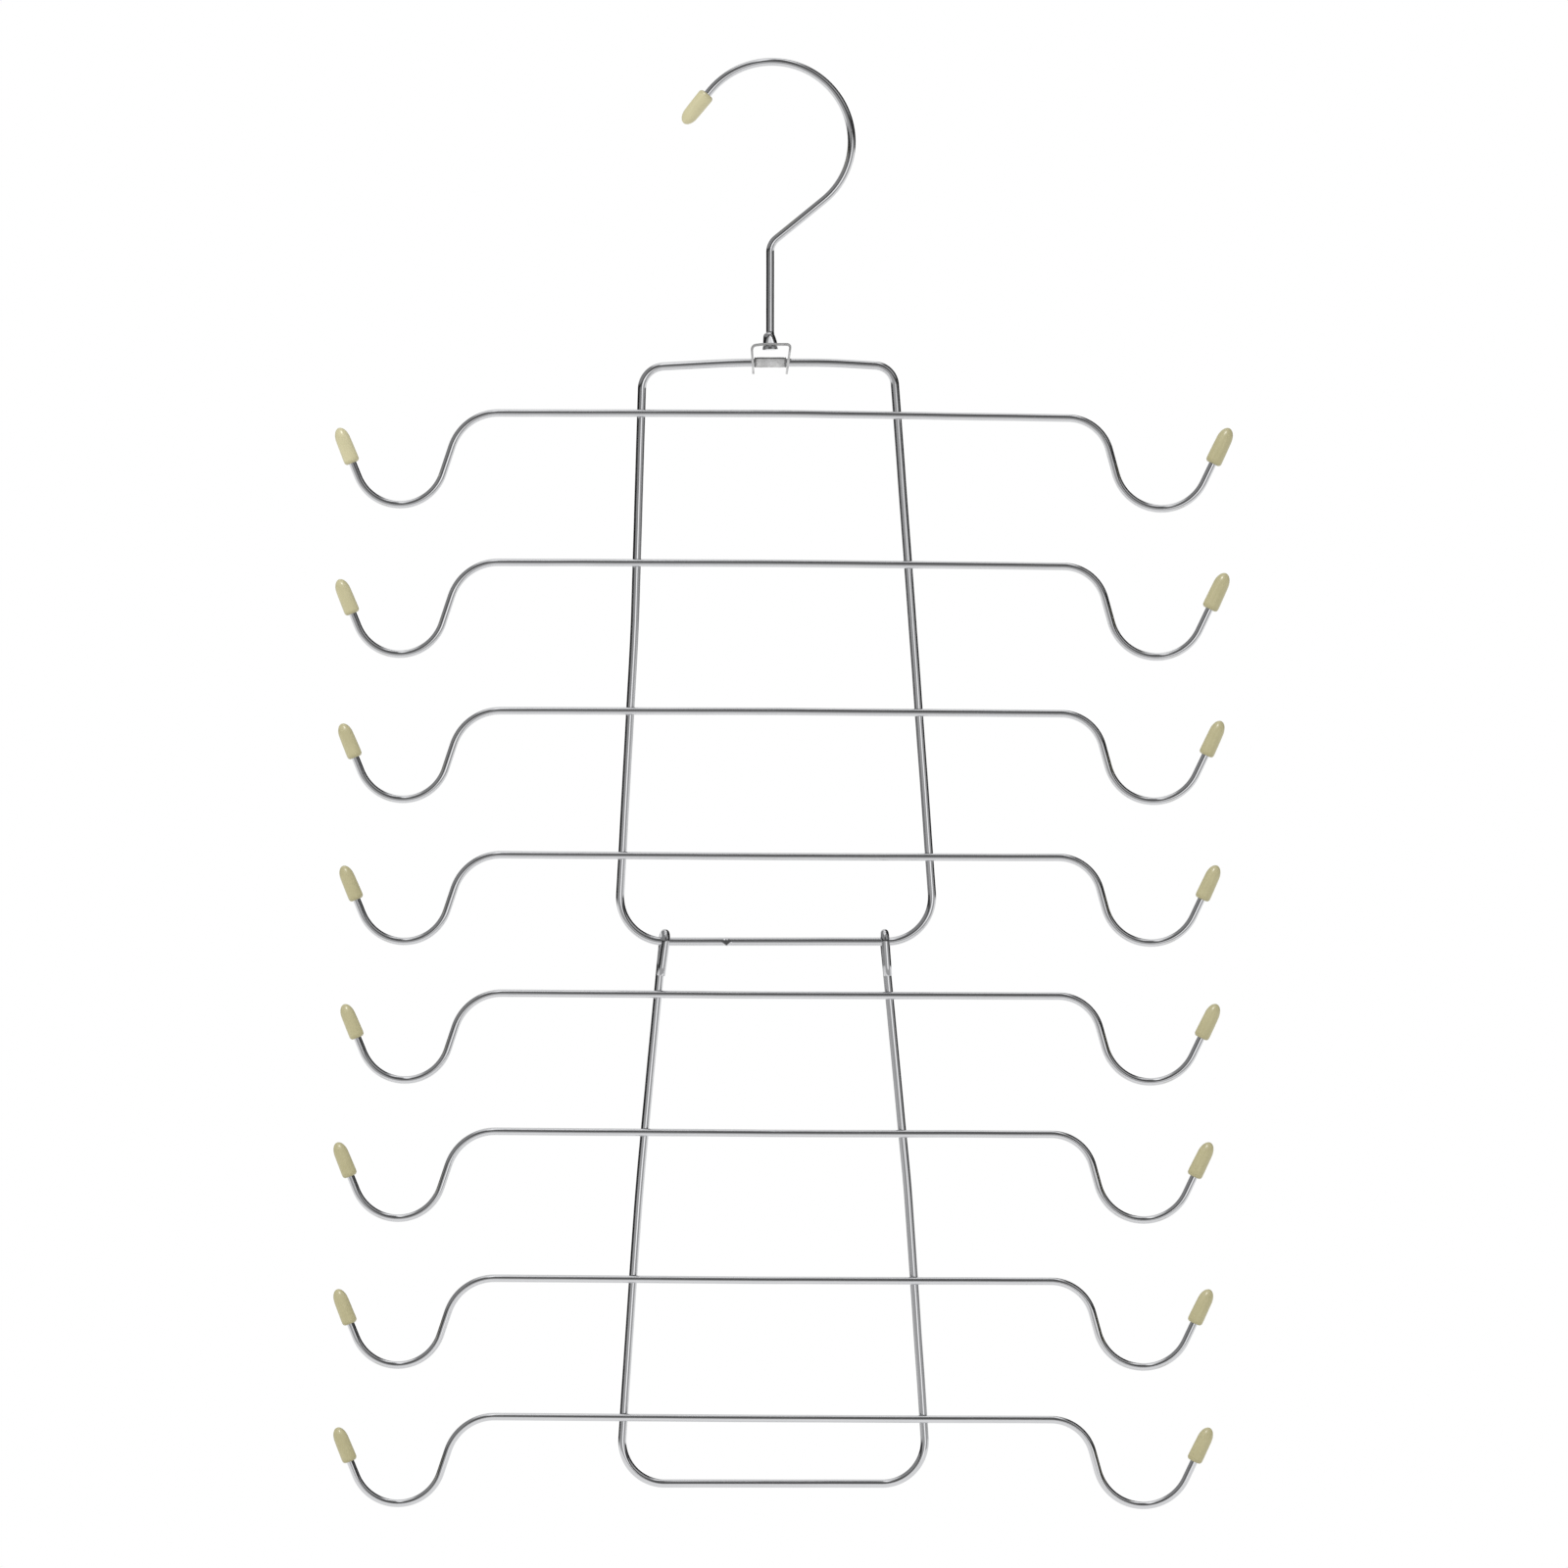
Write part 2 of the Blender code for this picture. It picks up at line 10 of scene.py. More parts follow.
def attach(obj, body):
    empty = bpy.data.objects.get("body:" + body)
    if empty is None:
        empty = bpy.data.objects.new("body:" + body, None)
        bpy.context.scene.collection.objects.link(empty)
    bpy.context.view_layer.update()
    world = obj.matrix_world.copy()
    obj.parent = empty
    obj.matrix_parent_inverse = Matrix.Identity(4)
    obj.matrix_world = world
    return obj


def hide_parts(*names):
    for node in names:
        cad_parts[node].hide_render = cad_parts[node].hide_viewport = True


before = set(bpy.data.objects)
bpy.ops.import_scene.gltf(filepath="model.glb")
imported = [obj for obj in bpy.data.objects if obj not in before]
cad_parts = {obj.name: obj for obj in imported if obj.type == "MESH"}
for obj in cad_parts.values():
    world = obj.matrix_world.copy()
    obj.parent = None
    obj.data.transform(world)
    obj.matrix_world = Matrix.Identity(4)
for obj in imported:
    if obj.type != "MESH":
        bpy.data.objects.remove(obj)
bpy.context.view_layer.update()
print("stage: frame loaded,", len(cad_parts), "nodes")

# The multi-tier delicates hanger, dressed. Metres, +Z up, the camera on the -Y side. The origin is the seat
# of the crook, so everything hangs below it. The sizes are those of the solids, with small details added.

leftSide, rightSide = -1, 1
sideNames = {leftSide: "left", rightSide: "right"}
seatPlay = 0.00004  # between pieces that turn on each other and look as if they touch


# Small helpers

def linear(hexColour):
    # An sRGB hex colour as the linear colour that the sockets take.
    channels = [int(hexColour[i:i + 2], 16) / 255 for i in (0, 2, 4)]
    return [c / 12.92 if c <= 0.04045 else ((c + 0.055) / 1.055) ** 2.4 for c in channels] + [1]


def setUp(thing, **settings):
    # Sets the properties of what Blender has just made, and hands it back.
    for name, value in settings.items():
        setattr(thing, name, value)
    return thing


def addNode(tree, kind, inputs=None, **settings):
    # Adds a node, sets its options, and sets or links its inputs. A kind without "Node" in it is a shader's,
    # and a node given as an input stands for its first output.
    made = setUp(tree.nodes.new(kind if "Node" in kind else "ShaderNode" + kind), **settings)
    for key, value in (inputs or {}).items():
        if isinstance(value, bpy.types.Node):
            value = value.outputs[0]
        if isinstance(value, bpy.types.NodeSocket):
            tree.links.new(value, made.inputs[key])
        else:
            made.inputs[key].default_value = value
    return made


def addObject(name, data):
    made = bpy.data.objects.new(name, data)
    bpy.context.scene.collection.objects.link(made)
    return made


def finished(name, source):
    # The evaluated shape of an object with modifiers, as a plain object at the origin.
    graph = bpy.context.evaluated_depsgraph_get()
    mesh = bpy.data.meshes.new_from_object(source.evaluated_get(graph), depsgraph=graph)
    mesh.name = name
    bpy.data.objects.remove(source, do_unlink=True)
    return addObject(name, mesh)


def meshOf(bm, name):
    mesh = bpy.data.meshes.new(name)
    bm.to_mesh(mesh)
    bm.free()
    return mesh


def setAttribute(mesh, name, values):
    # One number for each vertex, which materials and node trees read by its name.
    mesh.attributes.new(name, "FLOAT", "POINT").data.foreach_set("value", values)


def settle(piece, body, slot, *nodes):
    # Hands a finished piece to the body it moves with and the solids it stands for.
    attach(piece, body)
    if nodes:
        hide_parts(*nodes)


def smooth(mesh, sharpAngle):
    mesh.shade_smooth()
    mesh.set_sharp_from_angle(angle=math.radians(sharpAngle))


def ofSide(pair, side):
    return pair[0] if side == leftSide else pair[1]


def quarterTurn(steps):
    # Angles from 0 to a right angle.
    return [math.pi / 2 * i / steps for i in range(steps + 1)]


def eased(value, low, high):
    # 0 at low and below, 1 at high and above, smooth in between.
    part = min(max((value - low) / (high - low), 0), 1)
    return part * part * (3 - 2 * part)


# Finishes

def startFinish(name):
    # A new material, the function that adds its nodes, and the Object coordinates that its patterns lie in.
    material = bpy.data.materials.new(name)
    material.use_nodes = True
    add = partial(addNode, material.node_tree)
    return material, add, add("TexCoord").outputs["Object"]


def setSurface(material, look, colour, wear, bump):
    # Gives the shader what a finish is made of. colour is a Mix node, and wear goes from 0 to 1, from the
    # first to the second of the look's roughnesses.
    start, end = look["roughness"]
    tree = material.node_tree
    rough = addNode(tree, "MapRange", {"Value": wear, "To Min": start, "To Max": end})
    shader = tree.nodes["Principled BSDF"]
    shader.inputs["Metallic"].default_value = look["metallic"]
    tree.links.new(colour.outputs[2], shader.inputs["Base Color"])
    tree.links.new(rough.outputs[0], shader.inputs["Roughness"])
    tree.links.new(bump.outputs[0], shader.inputs["Normal"])


wireLook = {
    "colour": "d6d6d8",  # bright chrome, seen square on
    "cloud": "cdced0",  # where the plating is a little thinner
    "metallic": 1,
    "clouds": 60.0,  # per metre
    "cloudSpan": (0.3, 0.7),  # of the noise, from smooth to rough
    "roughness": (0.06, 0.13),
    "lines": 7.0,  # how finely the drawing lines lie round the wire
    "lineStretch": 9.0,  # per metre along it
    "lineHeight": 0.000002,
    "peelSize": 0.0011,
    "peelHeight": 0.0000015,
}


def chromedWireFinish(look):
    # Drawn steel wire, bright chrome over nickel: long die lines that follow every bend, and a faint orange
    # peel, which break the reflected studio into uneven bright and dark streaks.
    material, add, body = startFinish("chromedDrawnWire")
    ring = add("Attribute", attribute_name="ring").outputs["Vector"]
    along = add("Attribute", attribute_name="along").outputs["Fac"]
    turned = add("VectorMath", {0: ring, 1: (look["lines"], look["lines"], 0)}, operation="MULTIPLY")
    stretched = add("Math", {0: along, 1: look["lineStretch"]}, operation="MULTIPLY")
    down = add("CombineXYZ", {"Z": stretched})
    drawn = add("VectorMath", {0: turned, 1: down}, operation="ADD")
    lines = add("TexNoise", {"Vector": drawn, "Scale": 1.0, "Detail": 4.0, "Roughness": 0.6})
    peel = add("TexNoise", {"Vector": body, "Scale": 1 / look["peelSize"]})
    cloud = add("TexNoise", {"Vector": body, "Scale": look["clouds"], "Detail": 3.0})
    tone = add("Mix", {0: cloud, 6: linear(look["colour"]), 7: linear(look["cloud"])}, data_type="RGBA")
    clear, dull = look["cloudSpan"]
    wear = add("MapRange", {"Value": cloud, "From Min": clear, "From Max": dull})
    fine = add("Bump", {"Height": lines, "Distance": look["lineHeight"]})
    coarse = add("Bump", {"Height": peel, "Distance": look["peelHeight"], "Normal": fine})
    setSurface(material, look, tone, wear, coarse)
    return material


weldLook = {
    "colour": "b4b3b1",
    "pit": "6f6d6b",  # in the pits between the spatter
    "pitSpan": (0.32, 0.55),  # of the noise, from pit to crest
    "metallic": 1,
    "roughness": (0.42, 0.18),  # in the pits and on the crests
    "grain": 0.0006,
    "height": 0.00004,
}


def chromedWeldFinish(look):
    # Squeezed weld metal, plated over: lumpy and duller than the wire, darker in its pits.
    material, add, body = startFinish("chromedWeldMetal")
    grain = add("TexNoise", {"Vector": body, "Scale": 1 / look["grain"], "Detail": 5.0, "Roughness": 0.65})
    pit, crest = look["pitSpan"]
    height = add("MapRange", {"Value": grain, "From Min": pit, "From Max": crest})
    tone = add("Mix", {0: height, 6: linear(look["pit"]), 7: linear(look["colour"])}, data_type="RGBA")
    bump = add("Bump", {"Height": grain, "Distance": look["height"]})
    setSurface(material, look, tone, height, bump)
    return material


zincLook = {
    "colour": "e6e6e6",
    "dull": "d0d0d0",  # where the zinc has gone grey
    "paintedShade": "8e8e8e",  # painted shade, the darkest the zinc is painted
    "metallic": 0.55,  # the bloom on the zinc scatters the rest
    "roughness": (0.46, 0.66),
    "bloomSize": 0.0032,
    "bloomSpan": (0.38, 0.62),  # of the noise, from bright to dull
    "scratchLean": (0.4, 0.9, 0.2),
    "scratchStretch": (0.12, 1, 1),
    "scratchSize": 0.00028,
    "scratchHeight": 0.000004,
}


def zincPlateFinish(look):
    # Pressed sheet steel, zinc plated: satin grey with cloudy bloom and short scratches from tumbling, and
    # painted shade, darker where a mesh attribute says.
    material, add, body = startFinish("zincPlatedSheet")
    bloom = add("TexNoise", {"Vector": body, "Scale": 1 / look["bloomSize"], "Detail": 4.0, "Roughness": 0.6})
    bright, dull = look["bloomSpan"]
    clouds = add("MapRange", {"Value": bloom, "From Min": bright, "From Max": dull})
    tone = add("Mix", {0: clouds, 6: linear(look["colour"]), 7: linear(look["dull"])}, data_type="RGBA")
    # Painted shade: how far each point is painted darker, from the mesh.
    paintedShadeOf = add("Attribute", attribute_name="paintedShade").outputs["Fac"]
    worn = add("Mix", {0: paintedShadeOf, 6: tone.outputs[2], 7: linear(look["paintedShade"])}, data_type="RGBA")
    leaning = add("Mapping", {"Vector": body, "Rotation": look["scratchLean"], "Scale": look["scratchStretch"]})
    scratch = add("TexNoise", {"Vector": leaning, "Scale": 1 / look["scratchSize"], "Detail": 3.0})
    bump = add("Bump", {"Height": scratch, "Distance": look["scratchHeight"]})
    setSurface(material, look, worn, clouds, bump)
    return material


vinylLook = {
    "pale": "d4cda6",
    "deep": "afa87f",
    "mouthShadeColour": "a19a72",  # painted shade round the mouth, where the cap meets the wire
    "mouthShadeFrom": 0.86,  # of its length, down from the nose
    "mouthShadeMost": 0.45,
    "metallic": 0,
    "roughness": (0.27, 0.38),
    "mottle": 0.4,
    "mottleSize": 0.005,
    "peelSize": 0.0009,
    "peelHeight": 0.0000016,
}


def softVinylFinish(look):
    # Dipped soft vinyl: cloudy beige, half matt, with a fine dimpled skin, and painted shade that makes it a
    # little darker at the mouth. Each cap has a tone of its own, which also holds painted light: the upper left
    # caps are paler.
    material, add, body = startFinish("dippedBeigeVinyl")
    # Each cap's tone holds painted light as well as its own colour: the upper left caps are painted paler.
    toneAndLightOf = add("Attribute", attribute_name="tone").outputs["Fac"]
    depthOf = add("Attribute", attribute_name="depth").outputs["Fac"]
    mottle = add("TexNoise", {"Vector": body, "Scale": 1 / look["mottleSize"], "Detail": 4.0})
    centred = add("Math", {0: mottle, 1: 0.5}, operation="SUBTRACT")
    shade = add("Math", {0: centred, 1: look["mottle"], 2: toneAndLightOf}, operation="MULTIPLY_ADD", use_clamp=True)
    tone = add("Mix", {0: shade, 6: linear(look["pale"]), 7: linear(look["deep"])}, data_type="RGBA")
    # Painted shade at the mouth, where the cap meets the wire.
    mouthShadeMask = add(
        "MapRange", {"Value": depthOf, "From Min": look["mouthShadeFrom"], "To Max": look["mouthShadeMost"]},
        interpolation_type="SMOOTHSTEP",
    )
    worn = add("Mix", {0: mouthShadeMask, 6: tone.outputs[2], 7: linear(look["mouthShadeColour"])}, data_type="RGBA")
    peel = add("TexNoise", {"Vector": body, "Scale": 1 / look["peelSize"]})
    bump = add("Bump", {"Height": peel, "Distance": look["peelHeight"]})
    setSurface(material, look, worn, mottle, bump)
    return material


chromedWire = chromedWireFinish(wireLook)
chromedWeld = chromedWeldFinish(weldLook)
zincPlate = zincPlateFinish(zincLook)
softVinyl = softVinylFinish(vinylLook)
print("stage: finishes made")


# Paths of bent wire

bendStep = math.radians(4)
straightStep = 0.004


def arcPoints(centre, radius, start, end):
    # Points in the XZ plane from one angle to the other.
    steps = max(3, math.ceil(abs(end - start) / bendStep))
    angles = [start + (end - start) * i / steps for i in range(steps + 1)]
    return [centre + radius * Vector((math.cos(a), 0, math.sin(a))) for a in angles]


def bendRun(before, corner, after, radius):
    # The straight run that a bend takes on each side of its corner.
    return radius * math.tan((math.pi - (before - corner).angle(after - corner)) / 2)


def bendPoints(before, corner, after, radius):
    # The round bend that takes a wire past a corner.
    back = (before - corner).normalized()
    onward = (after - corner).normalized()
    turn = math.pi - back.angle(onward)
    if radius == 0 or turn < math.radians(0.1):
        return [corner]
    run = radius * math.tan(turn / 2)
    centre = corner + (back + onward).normalized() * radius / math.cos(turn / 2)
    spoke = corner + back * run - centre
    across = corner + onward * run - centre
    steps = max(4, math.ceil(turn / bendStep))
    parts = [turn * i / steps for i in range(steps + 1)]
    return [centre + (spoke * math.sin(turn - p) + across * math.sin(p)) / math.sin(turn) for p in parts]


def bentWire(corners, bends):
    # A wire's centreline: its corners, each with a bend radius, made round. Bends that need more than the
    # straight run between them are both tighter. Long straight runs get points too, so that they can waver.
    count = len(corners)
    runs = [0] * count
    for i in range(1, count - 1):
        runs[i] = bendRun(corners[i - 1], corners[i], corners[i + 1], bends[i])
    room = [1] * count
    for i in range(count - 1):
        length = (corners[i + 1] - corners[i]).length
        needed = runs[i] + runs[i + 1]
        if needed > length:
            room[i] = min(room[i], length / needed)
            room[i + 1] = min(room[i + 1], length / needed)
    rounded = [corners[0]]
    for i in range(1, count - 1):
        rounded += bendPoints(corners[i - 1], corners[i], corners[i + 1], bends[i] * room[i])
    rounded.append(corners[-1])
    path = [rounded[0]]
    for point in rounded[1:]:
        gap = (point - path[-1]).length
        if gap < 0.00001:
            continue
        steps = max(1, round(gap / straightStep))
        start = path[-1]
        path += [start.lerp(point, i / steps) for i in range(1, steps + 1)]
    return path


# Geometry Nodes trees

def startTree(name, sockets):
    # A new tree with these inputs, the function that adds its nodes, and what it is given.
    tree = bpy.data.node_groups.new(name, "GeometryNodeTree")
    for socket, kind in sockets.items():
        tree.interface.new_socket(socket, in_out="INPUT", socket_type="NodeSocket" + kind)
    tree.interface.new_socket("Geometry", in_out="OUTPUT", socket_type="NodeSocketGeometry")
    add = partial(addNode, tree)
    return tree, add, add("NodeGroupInput").outputs


def closeTree(add, geometry, material):
    real = add("GeometryNodeRealizeInstances", {"Geometry": geometry})
    dressed = add("GeometryNodeSetMaterial", {"Geometry": real, "Material": material})
    add("NodeGroupOutput", {"Geometry": dressed})


def wireTree():
    # Path edges in, round wire out, straying a little from its drawn line where "free" says so. It keeps how
    # far each point lies along the wire ("along", metres) and where round it ("ring"), for the die lines.
    tree, add, given = startTree("wireSweep", {
        "Geometry": "Geometry", "Sides": "Int", "Waver": "Float", "Waver Shares": "Vector",
        "Waver Length": "Float", "Seed": "Float", "Finish": "Material",
    })
    curve = add("GeometryNodeMeshToCurve", {"Mesh": given["Geometry"]})
    place = add("GeometryNodeInputPosition")
    scale = add("Math", {0: 1.0, 1: given["Waver Length"]}, operation="DIVIDE")
    noise = add(
        "TexNoise", {"Vector": place, "W": given["Seed"], "Scale": scale, "Detail": 1.0},
        noise_dimensions="4D",
    )
    centred = add("VectorMath", {0: noise.outputs["Color"], 1: (0.5, 0.5, 0.5)}, operation="SUBTRACT")
    free = add("GeometryNodeInputNamedAttribute", {"Name": "free"}, data_type="FLOAT")
    amount = add("Math", {0: given["Waver"], 1: free}, operation="MULTIPLY")
    offset = add("VectorMath", {0: centred, "Scale": amount}, operation="SCALE")
    flat = add("VectorMath", {0: offset, 1: given["Waver Shares"]}, operation="MULTIPLY")
    moved = add("GeometryNodeSetPosition", {"Geometry": curve, "Offset": flat})
    spline = add("GeometryNodeSplineParameter")
    along = add(
        "GeometryNodeStoreNamedAttribute",
        {"Geometry": moved, "Name": "along", "Value": spline.outputs["Length"]}, data_type="FLOAT",
    )
    circle = add("GeometryNodeCurvePrimitiveCircle", {"Resolution": given["Sides"], "Radius": 1.0})
    ring = add(
        "GeometryNodeStoreNamedAttribute", {"Geometry": circle, "Name": "ring", "Value": place},
        data_type="FLOAT_VECTOR",
    )
    width = add("GeometryNodeInputNamedAttribute", {"Name": "width"}, data_type="FLOAT")
    half = add("Math", {0: width, 1: 0.5}, operation="MULTIPLY")
    swept = add(
        "GeometryNodeCurveToMesh",
        {"Curve": along, "Profile Curve": ring, "Scale": half, "Fill Caps": True},
    )
    closeTree(add, swept, given["Finish"])
    return tree


def weldTree():
    # Points in, at each a small uneven bead, pressed flat between the two wires it joins.
    tree, add, given = startTree("crossWelds", {
        "Geometry": "Geometry", "Radius": "Float", "Flatness": "Float", "Smallest": "Vector",
        "Largest": "Vector", "Lumps": "Float", "Lump Scale": "Float", "Seed": "Int", "Finish": "Material",
    })
    points = add("GeometryNodeMeshToPoints", {"Mesh": given["Geometry"]})
    ball = add("GeometryNodeMeshIcoSphere", {"Radius": given["Radius"], "Subdivisions": 4})
    size = add(
        "FunctionNodeRandomValue",
        {0: given["Smallest"], 1: given["Largest"], "Seed": given["Seed"]}, data_type="FLOAT_VECTOR",
    )
    press = add("CombineXYZ", {"X": 1.0, "Y": given["Flatness"], "Z": 1.0})
    scale = add("VectorMath", {0: size, 1: press}, operation="MULTIPLY")
    beads = add("GeometryNodeInstanceOnPoints", {"Points": points, "Instance": ball, "Scale": scale})
    real = add("GeometryNodeRealizeInstances", {"Geometry": beads})
    place = add("GeometryNodeInputPosition")
    noise = add("TexNoise", {"Vector": place, "Scale": given["Lump Scale"]})
    swell = add("Math", {0: noise, 1: 0.5}, operation="SUBTRACT")
    amount = add("Math", {0: swell, 1: given["Lumps"]}, operation="MULTIPLY")
    normal = add("GeometryNodeInputNormal")
    push = add("VectorMath", {0: normal, "Scale": amount}, operation="SCALE")
    uneven = add("GeometryNodeSetPosition", {"Geometry": real, "Offset": push})
    closeTree(add, uneven, given["Finish"])
    return tree


def runTree(name, mesh, tree, inputs):
    # Runs a tree on a mesh, its inputs set before the first evaluation, and keeps the plain result.
    source = addObject(name + ".source", mesh)
    modifier = setUp(source.modifiers.new("nodes", "NODES"), node_group=tree)
    for item in tree.interface.items_tree:
        if item.in_out == "INPUT" and item.name in inputs:
            modifier[item.identifier] = inputs[item.name]
    return finished(name, source)


wireMaking = {
    "waver": 0.00022,  # how far a wire strays from its drawn line
    "waverShares": (1.0, 0.3, 1.0),  # it lies flat, so it strays less in depth
    "waverLength": 0.034,
    "held": (0.006, 0.025),  # it strays nothing nearer to a joint than the first, and fully past the second
    "sharpAngle": 40,
}
sweep = wireTree()


def sweepWire(name, points, widths, sides, seed, held):
    # One wire. held are the points where it has to stay on its drawn line.
    near, far = wireMaking["held"]
    free = [min((eased((p - h).length, near, far) for h in held), default=1) for p in points]
    mesh = bpy.data.meshes.new(name)
    mesh.from_pydata(points, [(i, i + 1) for i in range(len(points) - 1)], [])
    setAttribute(mesh, "width", widths)
    setAttribute(mesh, "free", free)
    wire = runTree(name, mesh, sweep, {
        "Sides": sides, "Waver": wireMaking["waver"], "Waver Shares": wireMaking["waverShares"],
        "Waver Length": wireMaking["waverLength"], "Seed": float(seed), "Finish": chromedWire,
    })
    smooth(wire.data, wireMaking["sharpAngle"])
    return wire


def shapedEnds(points, width, shape):
    # Adds points near both ends of a path and gives the width there. shape is (distance from the end, width)
    # from the end inwards. Returns the path and its widths.
    first, last = points[0], points[-1]
    inward = (points[1] - first).normalized()
    backward = (points[-2] - last).normalized()
    clear = shape[-1][0] * 1.2
    middle = [p for p in points if (p - first).length > clear and (p - last).length > clear]
    path = [first + inward * d for d, _ in shape] + middle + [last + backward * d for d, _ in reversed(shape)]
    ends = [w for _, w in shape]
    return path, ends + [width] * len(middle) + ends[::-1]


# Turned and rolled shapes

def ringMesh(name, rings, ends=()):
    # A closed shape, each ring of points joined to the next. A lone point is a pole, and ends are the faces,
    # as places in a ring, that fill the first and the last ring.
    bm = bmesh.new()
    rings = [[bm.verts.new(spot) for spot in ring] for ring in rings]
    for one, two in zip(rings, rings[1:]):
        for i in range(max(len(one), len(two))):
            corners = [ring[k % len(ring)] for ring, k in ((one, i), (one, i + 1), (two, i + 1), (two, i))]
            bm.faces.new(list(dict.fromkeys(corners)))
    for ring in (rings[0], rings[-1]):
        for face in ends:
            bm.faces.new([ring[k] for k in face])
    bmesh.ops.recalc_face_normals(bm, faces=bm.faces)
    return meshOf(bm, name)


def latheMesh(name, profile, sides, centreLine, ovality, twist):
    # A shape of revolution about Z from a (radius, height) profile with both ends on the axis. centreLine
    # gives the sideways shift of a ring at a height, and ovality flattens the rings a little.
    rings = []
    for radius, height in profile:
        ring = []
        for i in range(sides if radius else 1):
            angle = 2 * math.pi * i / sides
            wide = radius * (1 + ovality * math.cos(2 * (angle - twist)))
            ring.append(Vector((wide * math.cos(angle), wide * math.sin(angle), height)) + centreLine(height))
        rings.append(ring)
    return ringMesh(name, rings)


# Vinyl caps

armCap = {
    "noseShare": 0.34,  # of the length
    "noseWidthShare": 0.95,
    "noseWall": 0.0024,  # between the wire's end and the outside of the nose
    "gap": 0.0003,
    "bellySwell": 0.8,  # below 1, it fills out soon after the nose
    "mouthRound": 0.0012,
    "mouthStretch": 1.2,  # how much longer than wide the mouth's rounding is
    "bellyEnd": 1.7,  # above the mouth, in its roundings
    "boreRound": 0.0002,
    "fit": 0.00002,  # round the wire at the mouth
    "noseFullness": 2.0,  # 2 is an ellipse, more is fuller
    "sides": 40,
    "lean": math.radians(0.5),  # how unevenly the caps are pushed on
    "stretch": 0.018,
    "bend": 0.00016,
    "ovality": 0.012,
    "toneSpread": 0.04,
    "sharpAngle": 60,
}
# The hook's cap gets a low tone, painted paler: painted light, as the upper left gets more light.
hookCap = dict(armCap, length=0.0154, width=0.0067, tone=0.2, seed=11)
vinylCaps = []


def capProfile(look, wireWidth, length):
    # From the middle of the nose down to the mouth and up the bore, as (radius, height).
    top = look["gap"] + look["noseWall"]
    mouth = top - length
    noseHeight = length * look["noseShare"]
    shoulder = top - noseHeight
    body = look["width"] / 2
    nose = body * look["noseWidthShare"]
    corner = look["mouthRound"]
    bore = wireWidth / 2 + look["fit"]
    lip = look["boreRound"]
    power = 2 / look["noseFullness"]
    profile = [(0, top)]
    for angle in quarterTurn(12)[1:-1]:
        profile.append((nose * math.sin(angle) ** power, shoulder + noseHeight * math.cos(angle) ** power))
    belly = mouth + corner * look["bellyEnd"]
    for part in (i / 8 for i in range(9)):
        swell = (body - nose) * part ** look["bellySwell"]
        profile.append((nose + swell, shoulder + (belly - shoulder) * part))
    for angle in quarterTurn(6)[1:]:
        rise = corner * look["mouthStretch"] * (1 - math.sin(angle))
        profile.append((body - corner + corner * math.cos(angle), mouth + rise))
    for angle in quarterTurn(3):
        profile.append((bore + lip * (1 - math.sin(angle)), mouth + lip * (1 - math.cos(angle))))
    return profile + [(bore, look["gap"]), (0, look["gap"])]


def addCap(name, look, wireWidth, wireEnd, lean, tone, seed):
    # One cap. Its own +Z points out of the wire, and lean turns that from +Z towards +X. tone is how deep its
    # colour is, from 0 to 1; it also carries painted light, a paler cap standing for more light falling on it.
    chance = random.Random(seed)
    length = look["length"] * (1 + chance.uniform(-1, 1) * look["stretch"])
    heading = chance.uniform(0, 2 * math.pi)
    bow = look["bend"] * chance.uniform(0.3, 1)
    top = look["gap"] + look["noseWall"]
    mouth = top - length

    def centreLine(height):
        part = (height - mouth) / length
        return Vector((math.cos(heading), math.sin(heading), 0)) * bow * part * part

    mesh = latheMesh(
        name, capProfile(look, wireWidth, length), look["sides"], centreLine,
        look["ovality"] * chance.uniform(0.3, 1), chance.uniform(0, math.pi),
    )
    depth = [min(max((top - v.co.z) / length, 0), 1) for v in mesh.vertices]
    tone += chance.uniform(-1, 1) * look["toneSpread"]
    setAttribute(mesh, "depth", depth)
    setAttribute(mesh, "tone", [tone] * len(depth))
    askew = chance.uniform(-1, 1) * look["lean"]
    mesh.transform(Matrix.Translation(wireEnd) @ Matrix.Rotation(lean + askew, 4, "Y"))
    smooth(mesh, look["sharpAngle"])
    mesh.materials.append(softVinyl)
    cap = addObject(name, mesh)
    vinylCaps.append(cap)
    return cap


# The hook

